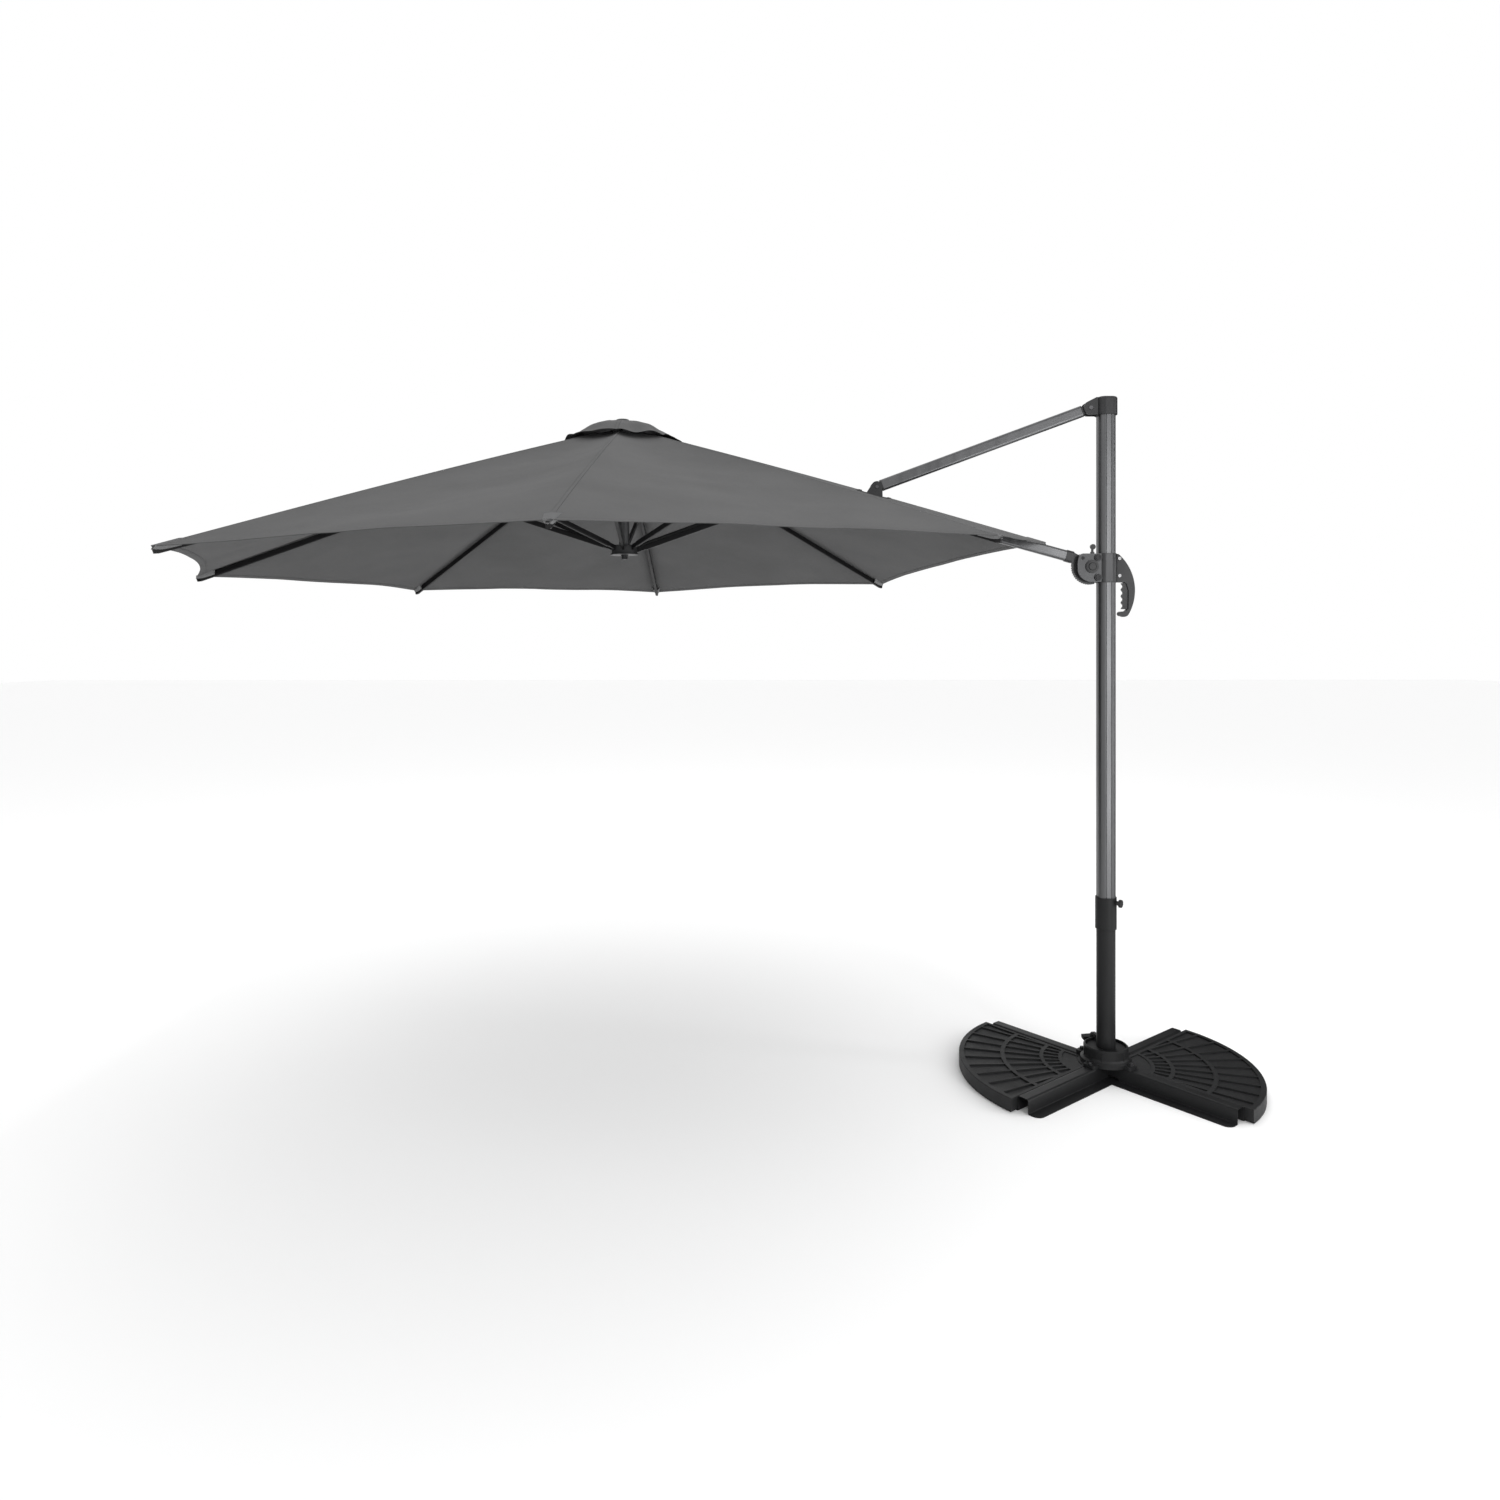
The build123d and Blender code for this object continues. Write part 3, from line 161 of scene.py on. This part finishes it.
def cloth_sheet(name, points, normals, faces, uvs, thickness):
    """Closed sheet of cloth with its upper layer through the points and its cut edges square."""
    count = len(points)
    upper = [tuple(reversed(face)) for face in faces]
    lower = [tuple(i + count for i in face) for face in faces]
    runs = {run for face in upper for run in zip(face, face[1:] + face[:1])}
    edges = [(b, a, a + count, b + count) for a, b in sorted(runs) if (b, a) not in runs]
    under = [point - normal * thickness for point, normal in zip(points, normals)]
    piece = mesh_object(name, points + under, upper + lower + edges, uvs + uvs)
    split = []
    for polygon in piece.data.polygons:
        for vertex in polygon.vertices:
            if polygon.index < len(upper):
                split.append(normals[vertex])
            elif polygon.index < len(upper) + len(lower):
                split.append(-normals[vertex - count])
            else:
                split.append(polygon.normal.copy())
    piece.data.normals_split_custom_set(split)
    return piece


# ---------------------------------------------------------------- the canopy's surface
def hem_share(turn):
    """How far out the hem lies at a turn, as a share of the chord between two corners."""
    f = turn - int(turn // 1)
    k = int(turn // 1) % 8
    middle = (CORNERS[k] + CORNERS[(k + 1) % 8]) / 2 - APEX
    return 1 - HEM_SAG / middle.length * 4 * f * (1 - f)


def cloth_point(turn, out):
    """Point of the canopy's cloth: turn in spokes from the arm, out from apex (0) to hem (1)."""
    f = turn - int(turn // 1)
    k = int(turn // 1) % 8
    edge = CORNERS[k].lerp(CORNERS[(k + 1) % 8], f) - APEX
    flat = APEX + edge * (out * hem_share(turn))
    between = 4 * f * (1 - f)
    hang = sin(pi * min(out, 1) ** 0.9)
    crease = sum(noise.noise(flat * scale) * height * between for scale, height in CREASES)
    sag = VALLEY * between * (0.35 + 0.65 * hang) * min(1, out * 4)
    lift = RIDGE_BOW * (1 - between) ** 2 * hang - sag
    return flat + CROWN_UP * (lift + crease * min(1, out * 3))


def facing(shape, turn, out):
    """Upward normal of a surface that is given by turn and out."""
    step = 0.004
    along = shape(turn % 8, out + step) - shape(turn % 8, out - step)
    around = shape((turn + step) % 8, out) - shape((turn - step) % 8, out)
    return along.cross(around).normalized()


def spread(low, high, count):
    return [low + (high - low) * i / (count - 1) for i in range(count)]


# A panel's columns in spokes, from the middle of one gore to the next, closer near the ridge.
SIDE = [0.5, 0.46, 0.42, 0.37, 0.32, 0.27, 0.22, 0.17, 0.13, 0.09, 0.06, 0.035, 0.018, 0.007]
COLUMNS = [-c for c in SIDE] + [0] + SIDE[::-1]

# The opening for the bracket: its middle as a share of the arm's reach, and how many metres
# the whole reach and one spoke's turn measure there.
SLIT_MIDDLE = (JOINTS["arm_fold"]["pos_m"][0] + SLIT_SHIFT - APEX.x) / (CORNERS[0].x - APEX.x)
SLIT_REACH = (CORNERS[0] - APEX).length
SLIT_SIDE = (CORNERS[1] - CORNERS[0]).length * SLIT_MIDDLE


def panel(spoke):
    """The cloth over one spoke, from the middle of one gore to the middle of the next."""
    inner_rows = spread(VENT_HOLE_R / CANOPY_R, 0.92, 46)
    hem_rows = spread(0.935, 1, 7)
    rows = inner_rows + hem_rows
    columns = list(COLUMNS)
    skip = set()
    if spoke == 0:
        # Rows and columns close to the opening's edges give way to them.
        ends = [SLIT_MIDDLE + d * SLIT[0] / 2 / SLIT_REACH for d in (-1, 1)]
        rows = sorted([r for r in rows if min(abs(r - e) for e in ends) > 0.008] + ends)
        side = SLIT[1] / 2 / SLIT_SIDE
        columns = sorted([c for c in columns if abs(abs(c) - side) > 0.006] + [-side, side])
        skip = {
            (r, c)
            for r in range(len(rows) - 1)
            for c in range(len(columns) - 1)
            if ends[0] <= rows[r] < ends[1] and -side <= columns[c] < side
        }
    points, normals, uvs = [], [], []
    for out in rows:
        ridge = cloth_point(spoke, out)
        for c in columns:
            point = cloth_point((spoke + c) % 8, out)
            points.append(point)
            normals.append(facing(cloth_point, spoke + c, out))
            width = (point - ridge).length
            hem = (1 - out) * (CORNERS[spoke] - APEX).length
            uvs.append((width if c > 0 else -width, hem))
    faces = grid_faces(len(rows), len(columns), skip)
    return cloth_sheet(tidy_name("canopy", spoke), points, normals, faces, uvs, CLOTH)


def hem_band(spoke):
    """Turned-in hem below the edge of one panel."""
    points, normals, uvs = [], [], []
    for out in (1 - HEM_BAND / CANOPY_R, 1 - HEM_BAND / CANOPY_R / 2, 1.0):
        for c in COLUMNS:
            point = cloth_point((spoke + c) % 8, out) - CROWN_UP * (CLOTH + HEM_GAP)
            points.append(point)
            normals.append(facing(cloth_point, spoke + c, out))
            uvs.append((c, (1 - out) * CANOPY_R))
    faces = grid_faces(3, len(COLUMNS))
    return cloth_sheet(tidy_name("hem", spoke), points, normals, faces, uvs, CLOTH)


def slit_binding():
    """Tape sewn round the opening for the strut's bracket."""
    around = 72
    points, uvs = [], []
    profile = ((TAPE_LIP, -0.0022), (TAPE_LIP, 0.0014), (TAPE, 0.0014), (TAPE, -0.0004))
    for grow, lift in profile:
        for i in range(around):
            a = 2 * pi * i / around
            along, across = (
                (abs(trig) ** SLIT_ROUND) * (1 if trig > 0 else -1) * (size / 2 + grow)
                for trig, size in zip((cos(a), sin(a)), SLIT)
            )
            point = cloth_point((across / SLIT_SIDE) % 8, SLIT_MIDDLE + along / SLIT_REACH)
            points.append(point + CROWN_UP * lift)
            uvs.append((along, across))
    faces = ring_faces(4, around)
    faces += [
        (3 * around + i, 3 * around + (i + 1) % around, (i + 1) % around, i) for i in range(around)
    ]
    return mesh_object("slit_binding", points, faces, uvs)


def pocket(spoke):
    """Corner pocket that holds the tip of a rib: flat on top, bulging round the rib below."""
    reach = (CORNERS[spoke] - APEX).length
    side = (CORNERS[(spoke + 1) % 8] - CORNERS[spoke]).length
    rings, uvs = [], []
    around = 20
    along = spread(0, 1, 9)
    for b in along:
        out = 1 - POCKET / reach * (1 - b) + POCKET_PAST
        half = POCKET_WIDE - POCKET_TAPER * b
        depth = POCKET_DEEP * (1 - b ** 6 * 0.55)
        for i in range(around):
            a = 2 * pi * i / around
            across = cos(a) * half / side
            top = cloth_point((spoke + across) % 8, min(out, 1.0))
            top += (CORNERS[spoke] - APEX).normalized() * max(0, out - 1) * reach
            if sin(a) >= 0:
                rings.append(top + CROWN_UP * (POCKET_LIFT + POCKET_CROWN * sin(a)))
            else:
                bulge = depth * sin(a) * (0.3 + 0.7 * sin(-a))
                rings.append(top + CROWN_UP * (POCKET_LIFT + bulge))
            uvs.append((across * side, (1 - b) * POCKET))
    faces = ring_faces(len(along), around)
    faces.append(tuple(range(around)))
    faces.append(tuple(reversed(range((len(along) - 1) * around, len(along) * around))))
    return mesh_object(tidy_name("pocket", spoke), rings, faces, uvs)


def vent_point(turn, out):
    """Point of the vent flap, whose edge is ruffled, by turn and out as in cloth_point."""
    f = turn - int(turn // 1)
    k = int(turn // 1) % 8
    tips = [
        crown_point(VENT_R, j, RISE + VENT_RISE - VENT_R * tan(RIB_SLOPE)) for j in (k, k + 1)
    ]
    apex = crown_point(0, 0, RISE + VENT_RISE)
    between = 4 * f * (1 - f)
    flat = apex + (tips[0].lerp(tips[1], f) - apex) * out
    angle = turn * pi / 4
    around = Vector((cos(angle), sin(angle), 0)) * RUFFLE_TURNS + Vector((0, 0, 9 + out))
    fold = RUFFLE * noise.noise(around) * (0.3 + 0.7 * between) * out ** 1.5
    loose = noise.noise(flat * 14 + Vector((0, 0, 5))) * VENT_LOOSE * out
    radius = out * VENT_R
    rising = min(1, max(0, (radius - PUFF_IN[0]) / PUFF_IN[1]))
    falling = min(1, max(0, (PUFF_OUT[0] - radius) / PUFF_OUT[1]))
    ring = rising * falling
    lifted = VENT_LIFT * between * out ** 3 - VENT_DROOP * max(0, cos(angle)) * out ** 2
    return flat + CROWN_UP * (fold + loose + VENT_PUFF * ring * ring * (3 - 2 * ring) + lifted)


def vent_petal(spoke):
    """The vent flap's share over one spoke, open round the finial."""
    rows = spread(0.05, 1, 40)
    columns = spread(-0.5, 0.5, 25)
    points, normals, uvs = [], [], []
    for out in rows:
        for c in columns:
            points.append(vent_point((spoke + c) % 8, out))
            normals.append(facing(vent_point, spoke + c, out))
            uvs.append((c * out * VENT_EDGE, (1 - out) * VENT_R))
    faces = grid_faces(len(rows), len(columns))
    return cloth_sheet(tidy_name("vent", spoke), points, normals, faces, uvs, CLOTH)


# ---------------------------------------------------------------- materials
RIDGE_STITCH = 0.0065    # stitching from the ridge, on either side
HEM_STITCH = 0.0185      # and from the hem's edge


class Shader:
    """Principled material with helpers for the nodes that feed it."""

    def __init__(self, name, roughness, metallic=0.0, **constants):
        self.material = bpy.data.materials.new(name)
        self.material.use_nodes = True
        self.tree = self.material.node_tree
        self.surface = self.tree.nodes["Principled BSDF"]
        self.surface.inputs["Roughness"].default_value = roughness
        self.surface.inputs["Metallic"].default_value = metallic
        for socket, value in constants.items():
            self.surface.inputs[socket.replace("_", " ")].default_value = value
        self.place = self.tree.nodes.new("ShaderNodeTexCoord").outputs["Object"]
        self.height = None

    def node(self, kind, links=(), **settings):
        made = self.tree.nodes.new(kind)
        for key, value in settings.items():
            setattr(made, key, value)
        for socket, source in dict(links).items():
            if hasattr(source, "is_output"):
                self.tree.links.new(source, made.inputs[socket])
            else:
                made.inputs[socket].default_value = source
        return made

    def noise(self, scale, detail=3.0, stretch=(1, 1, 1)):
        mapped = self.node("ShaderNodeMapping", {"Vector": self.place, "Scale": stretch})
        return self.node(
            "ShaderNodeTexNoise", {"Vector": mapped.outputs[0], "Scale": scale, "Detail": detail}
        ).outputs["Fac"]

    def ramp(self, source, low, high, dark, light):
        """Numbers from low to high of a source, spread from dark to light."""
        return self.node(
            "ShaderNodeMapRange",
            {"Value": source, "From Min": low, "From Max": high, "To Min": dark, "To Max": light},
        ).outputs[0]

    def math(self, operation, a, b=0.0):
        return self.node("ShaderNodeMath", {0: a, 1: b}, operation=operation).outputs[0]

    def colour(self, factor, dark, light):
        mix = self.node("ShaderNodeMix", {"Factor": factor}, data_type="RGBA")
        mix.inputs["A"].default_value = (*dark, 1)
        mix.inputs["B"].default_value = (*light, 1)
        self.tree.links.new(mix.outputs["Result"], self.surface.inputs["Base Color"])

    def rough(self, source, low, high):
        self.tree.links.new(self.ramp(source, 0.3, 0.7, low, high), self.surface.inputs["Roughness"])

    def bump(self, source, distance, strength=1.0):
        links = {"Height": source, "Distance": distance, "Strength": strength}
        if self.height is not None:
            links["Normal"] = self.height
        self.height = self.node("ShaderNodeBump", links).outputs[0]
        self.tree.links.new(self.height, self.surface.inputs["Normal"])


def fabric(name, dark, light, seams=True):
    """Plain woven cloth, slightly uneven in tone, with stitched seams along ridge and hem."""
    cloth = Shader(name, 0.92, Sheen_Weight=0.05, Sheen_Roughness=0.5, Specular_IOR_Level=0.1)
    cut = cloth.node("ShaderNodeUVMap", uv_map="Cut").outputs[0]
    parts = cloth.node("ShaderNodeSeparateXYZ", {0: cut})
    across, hem = cloth.math("ABSOLUTE", parts.outputs[0]), parts.outputs[1]
    broad = cloth.noise(4.0, 4.0)
    fine = cloth.noise(160.0, 2.0)
    tone = cloth.math("ADD", cloth.math("MULTIPLY", broad, 0.7), cloth.math("MULTIPLY", fine, 0.3))
    tone = cloth.ramp(tone, 0.35, 0.65, 0.0, 1.0)
    if seams:
        stitch = None
        for line, centre, half in ((across, RIDGE_STITCH, 0.0009), (hem, HEM_STITCH, 0.0010)):
            away = cloth.math("ABSOLUTE", cloth.math("SUBTRACT", line, centre))
            here = cloth.ramp(away, 0.0, half, 1.0, 0.0)
            stitch = here if stitch is None else cloth.math("MAXIMUM", stitch, here)
        doubled = cloth.ramp(across, 0.0055, 0.0075, 1.0, 0.0)
        tone = cloth.math("SUBTRACT", tone, cloth.math("MULTIPLY", stitch, 0.5))
        tone = cloth.math("MAXIMUM", tone, 0.0)
        cloth.bump(doubled, 0.0012)
        cloth.bump(cloth.math("MULTIPLY", stitch, -1.0), 0.0010)
    cloth.colour(tone, dark, light)
    threads = []
    for turned in (0, 1):
        wave = cloth.node(
            "ShaderNodeTexWave",
            {"Vector": cut, "Scale": 260.0, "Distortion": 0.4},
            bands_direction="XY"[turned],
        )
        threads.append(wave.outputs["Fac"])
    cloth.bump(cloth.math("MAXIMUM", *threads), 0.00018, 0.5)
    cloth.bump(cloth.noise(9.0, 5.0), 0.004, 0.35)
    return cloth.material


def paint(
    name, dark, light, roughness, metallic, grain=900.0, depth=0.00005, stretch=(1, 1, 1), gloss=0.5
):
    """Powder-coated metal: fine orange peel, with gloss that varies softly."""
    coat = Shader(name, roughness, metallic, Specular_IOR_Level=gloss)
    broad = coat.noise(7.0, 3.0, stretch)
    speck = coat.noise(grain, 2.0)
    tone = coat.math("ADD", coat.math("MULTIPLY", broad, 0.5), coat.math("MULTIPLY", speck, 0.5))
    coat.colour(coat.ramp(tone, 0.38, 0.62, 0.0, 1.0), dark, light)
    coat.rough(broad, roughness - 0.06, roughness + 0.08)
    coat.bump(speck, depth, 0.6)
    return coat.material


def moulded(name, dark, light, roughness, grain=420.0, depth=0.0003):
    """Moulded plastic with a fine leathery grain."""
    plastic = Shader(name, roughness, Specular_IOR_Level=0.35)
    cells = plastic.node(
        "ShaderNodeTexVoronoi", {"Vector": plastic.place, "Scale": grain}
    ).outputs["Distance"]
    broad = plastic.noise(11.0, 4.0)
    tone = plastic.math("ADD", plastic.math("MULTIPLY", broad, 0.6), plastic.math("MULTIPLY", cells, 0.4))
    plastic.colour(plastic.ramp(tone, 0.3, 0.7, 0.0, 1.0), dark, light)
    plastic.rough(broad, roughness - 0.08, roughness + 0.1)
    plastic.bump(cells, depth, 0.5)
    return plastic.material


def bolt_heads():
    """Dark cap screws, and bright rivets where they hold the handle."""
    heads = Shader("bolt_heads", 0.38, 0.7)
    along = heads.node("ShaderNodeSeparateXYZ", {0: heads.place}).outputs[0]
    heads.colour(heads.ramp(along, 0.0, 0.03, 0.0, 1.0), (0.014, 0.014, 0.015), (0.26, 0.26, 0.265))
    heads.bump(heads.noise(900.0), 0.00004, 0.6)
    return heads.material


CANOPY_CLOTH = fabric("canopy_cloth", (0.075, 0.0752, 0.076), (0.090, 0.0902, 0.091))
# One pocket cloth in two tones by the way its faces turn: a lighter copy for the downward faces and a darker copy
# for the upward faces, which is painted light below and painted shade on top.
POCKET_LIT_UNDERSIDE = fabric("pocket_lit_underside", (0.140, 0.141, 0.143), (0.180, 0.181, 0.183), seams=False)
POCKET_SHADED_TOP = fabric("pocket_shaded_top", (0.090, 0.091, 0.093), (0.110, 0.111, 0.113), seams=False)
DARK_CLOTH = fabric("dark_cloth", (0.020, 0.020, 0.021), (0.034, 0.034, 0.035), seams=False)
FRAME_PAINT = paint(
    "frame_paint", (0.090, 0.091, 0.094), (0.112, 0.113, 0.116),
    roughness=0.33, metallic=0.85, depth=0.00002, stretch=(4, 4, 0.4),
)
SPOKE_PAINT = paint(
    "spoke_paint", (0.006, 0.006, 0.0065), (0.010, 0.010, 0.0105),
    roughness=0.45, metallic=0.1, gloss=0.2,
)
BASE_PAINT = paint(
    "base_paint", (0.008, 0.0082, 0.0086), (0.013, 0.0133, 0.014),
    roughness=0.46, metallic=0.1, grain=500.0, depth=0.00012, gloss=0.25,
)
CAST_PAINT = paint(
    "cast_paint", (0.018, 0.0183, 0.019), (0.030, 0.0305, 0.032),
    roughness=0.40, metallic=0.35, grain=380.0, depth=0.0002, gloss=0.4,
)
PLASTIC = moulded(
    "dark_plastic", (0.014, 0.0142, 0.015), (0.024, 0.0245, 0.026), roughness=0.45
)
SLAB_PLASTIC = moulded(
    "slab_plastic", (0.006, 0.0062, 0.0066), (0.010, 0.0103, 0.011),
    roughness=0.6, grain=300.0, depth=0.0007,
)
RUBBER = moulded("rubber", (0.012, 0.012, 0.013), (0.018, 0.018, 0.019), roughness=0.75)
SHELL_PAINT = paint(
    "shell_paint", (0.036, 0.0365, 0.038), (0.050, 0.0505, 0.052),
    roughness=0.36, metallic=0.7, depth=0.00003,
)
BOLT_STEEL = paint(
    "bolt_steel", (0.060, 0.060, 0.062), (0.100, 0.100, 0.104),
    roughness=0.30, metallic=0.9, grain=1400.0,
)

BY_SLOT = {
    "canopy_fabric": CANOPY_CLOTH,
    "frame_paint": FRAME_PAINT,
    "base_steel": BASE_PAINT,
    "cast_fittings": CAST_PAINT,
    "dark_plastic": PLASTIC,
    "rubber_pad": RUBBER,
    "steel_fasteners": BOLT_STEEL,
    "slab_shell": SLAB_PLASTIC,
}
OWN_FINISH = {
    "lower_tube": BASE_PAINT,
    "joint_sleeve": BASE_PAINT,
    "turntable": BASE_PAINT,
    "pivot_bolt": PLASTIC,
    "carriage_screws": bolt_heads(),
    "carriage_front_shell": SHELL_PAINT,
    "carriage_rear_shell": SHELL_PAINT,
}
SLOT_OF = {part["node"]: part["material_slot"] for part in frame["record"]["subparts"]}
for node, piece in frame["nodes"].items():
    material = OWN_FINISH.get(node, BY_SLOT[SLOT_OF[node]])
    if node.startswith(("rib_", "stretcher_")):
        material = SPOKE_PAINT
    if not piece.material_slots:
        piece.data.materials.append(material)
    for place in piece.material_slots:
        place.material = material


def dress(piece, material):
    """Gives a cloth piece its material."""
    piece.data.materials.append(material)


# ---------------------------------------------------------------- the cloth pieces
def carry(piece, spoke):
    """Rides on the spoke's body."""
    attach(piece, rib_body(spoke))
    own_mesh(piece)


def gather(petal):
    """Stays over the crown."""
    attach(petal, "crown")
    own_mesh(petal)


for spoke in SPOKES:
    sheet = panel(spoke)
    band = hem_band(spoke)
    tip = pocket(spoke)
    dress(sheet, CANOPY_CLOTH)
    dress(band, CANOPY_CLOTH)
    dress(tip, POCKET_LIT_UNDERSIDE)
    tip.data.materials.append(POCKET_SHADED_TOP)
    # Upward faces take the darker copy: painted shade on the pocket's top, and painted light on its underside.
    for polygon in tip.data.polygons:
        polygon.material_index = 1 if polygon.normal.dot(CROWN_UP) > 0.3 else 0
    sewn = [band, tip]
    if spoke == 0:
        binding = slit_binding()
        dress(binding, DARK_CLOTH)
        sewn.append(binding)
    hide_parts("canopy")
    for piece in (sheet, *sewn):
        carry(piece, spoke)

    petal = vent_petal(spoke)
    dress(petal, CANOPY_CLOTH)
    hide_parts("vent_flap")
    gather(petal)

# ---------------------------------------------------------------- studio
floor = mesh_object("floor", [(-30, -12, 0), (30, -12, 0), (30, 40, 0), (-30, 40, 0)], [(0, 1, 2, 3)])
floor_shader = Shader("floor_paint", 0.75)
floor_shader.surface.inputs["Base Color"].default_value = (0.95, 0.95, 0.95, 1)
floor.data.materials.append(floor_shader.material)

bpy.context.scene.view_settings.view_transform = "Standard"
world = bpy.data.worlds.new("studio")
bpy.context.scene.world = world
world.use_nodes = True
world.node_tree.nodes["Background"].inputs["Color"].default_value = (1, 1, 1, 1)
world.node_tree.nodes["Background"].inputs["Strength"].default_value = 1.0


def softbox(name, place, aim, size, power):
    """Rectangular light at a place, turned towards its aim."""
    light = bpy.data.lights.new(name, "AREA")
    light.shape = "RECTANGLE"
    light.size, light.size_y = size
    light.energy = power
    lamp = bpy.data.objects.new(name, light)
    bpy.context.scene.collection.objects.link(lamp)
    lamp.location = place
    lamp.rotation_euler = (Vector(aim) - Vector(place)).to_track_quat("-Z", "Y").to_euler()


def dark_card(name, x, near, far):
    """Black upright card beside the object, which only shows in its reflections."""
    corners = [(x, near, 0), (x, far, 0), (x, far, CARD_HIGH), (x, near, CARD_HIGH)]
    card = mesh_object(name, corners, [(0, 1, 2, 3)])
    card.data.materials.append(CARD_BLACK)
    card.visible_camera = card.visible_diffuse = card.visible_shadow = False


CARD_HIGH = 3.2
card_shader = Shader("card_black", 1.0, Specular_IOR_Level=0.0)
card_shader.surface.inputs["Base Color"].default_value = (0.004, 0.004, 0.004, 1)
CARD_BLACK = card_shader.material
dark_card("card_right", x=1.6, near=-0.4, far=5.0)
dark_card("card_left", x=-3.6, near=-0.6, far=6.0)

softbox("key", place=(-3.5, -4.5, 6.0), aim=(-1.2, 0, 1.6), size=(4, 4), power=70)
softbox("overhead", place=(-1.0, 2.0, 7.0), aim=(-1.0, 0.5, 0), size=(6, 6), power=90)
softbox("strip", place=(1.5, -3.9, 1.4), aim=(0, 0, 1.3), size=(0.7, 3.2), power=60)
softbox("edge", place=(3.6, -0.9, 1.5), aim=(0, 0, 1.3), size=(0.5, 3.2), power=45)

CAMERA_PLACE = (-1.318, -3.644, 1.53)
CAMERA_TURN = 0.0145     # sideways for each metre ahead, to the right
CAMERA_LENS = 24.73      # mm, on a sensor of CAMERA_SENSOR mm
CAMERA_SENSOR = 36
CAMERA_SHIFT = -0.0707   # share of the frame's width, downwards
camera = bpy.data.objects.new("camera", bpy.data.cameras.new("camera"))
bpy.context.scene.collection.objects.link(camera)
camera.location = CAMERA_PLACE
camera.rotation_euler = (pi / 2, 0, atan2(-CAMERA_TURN, 1))
camera.data.lens = CAMERA_LENS
camera.data.sensor_width = CAMERA_SENSOR
camera.data.shift_y = CAMERA_SHIFT
bpy.context.scene.camera = camera
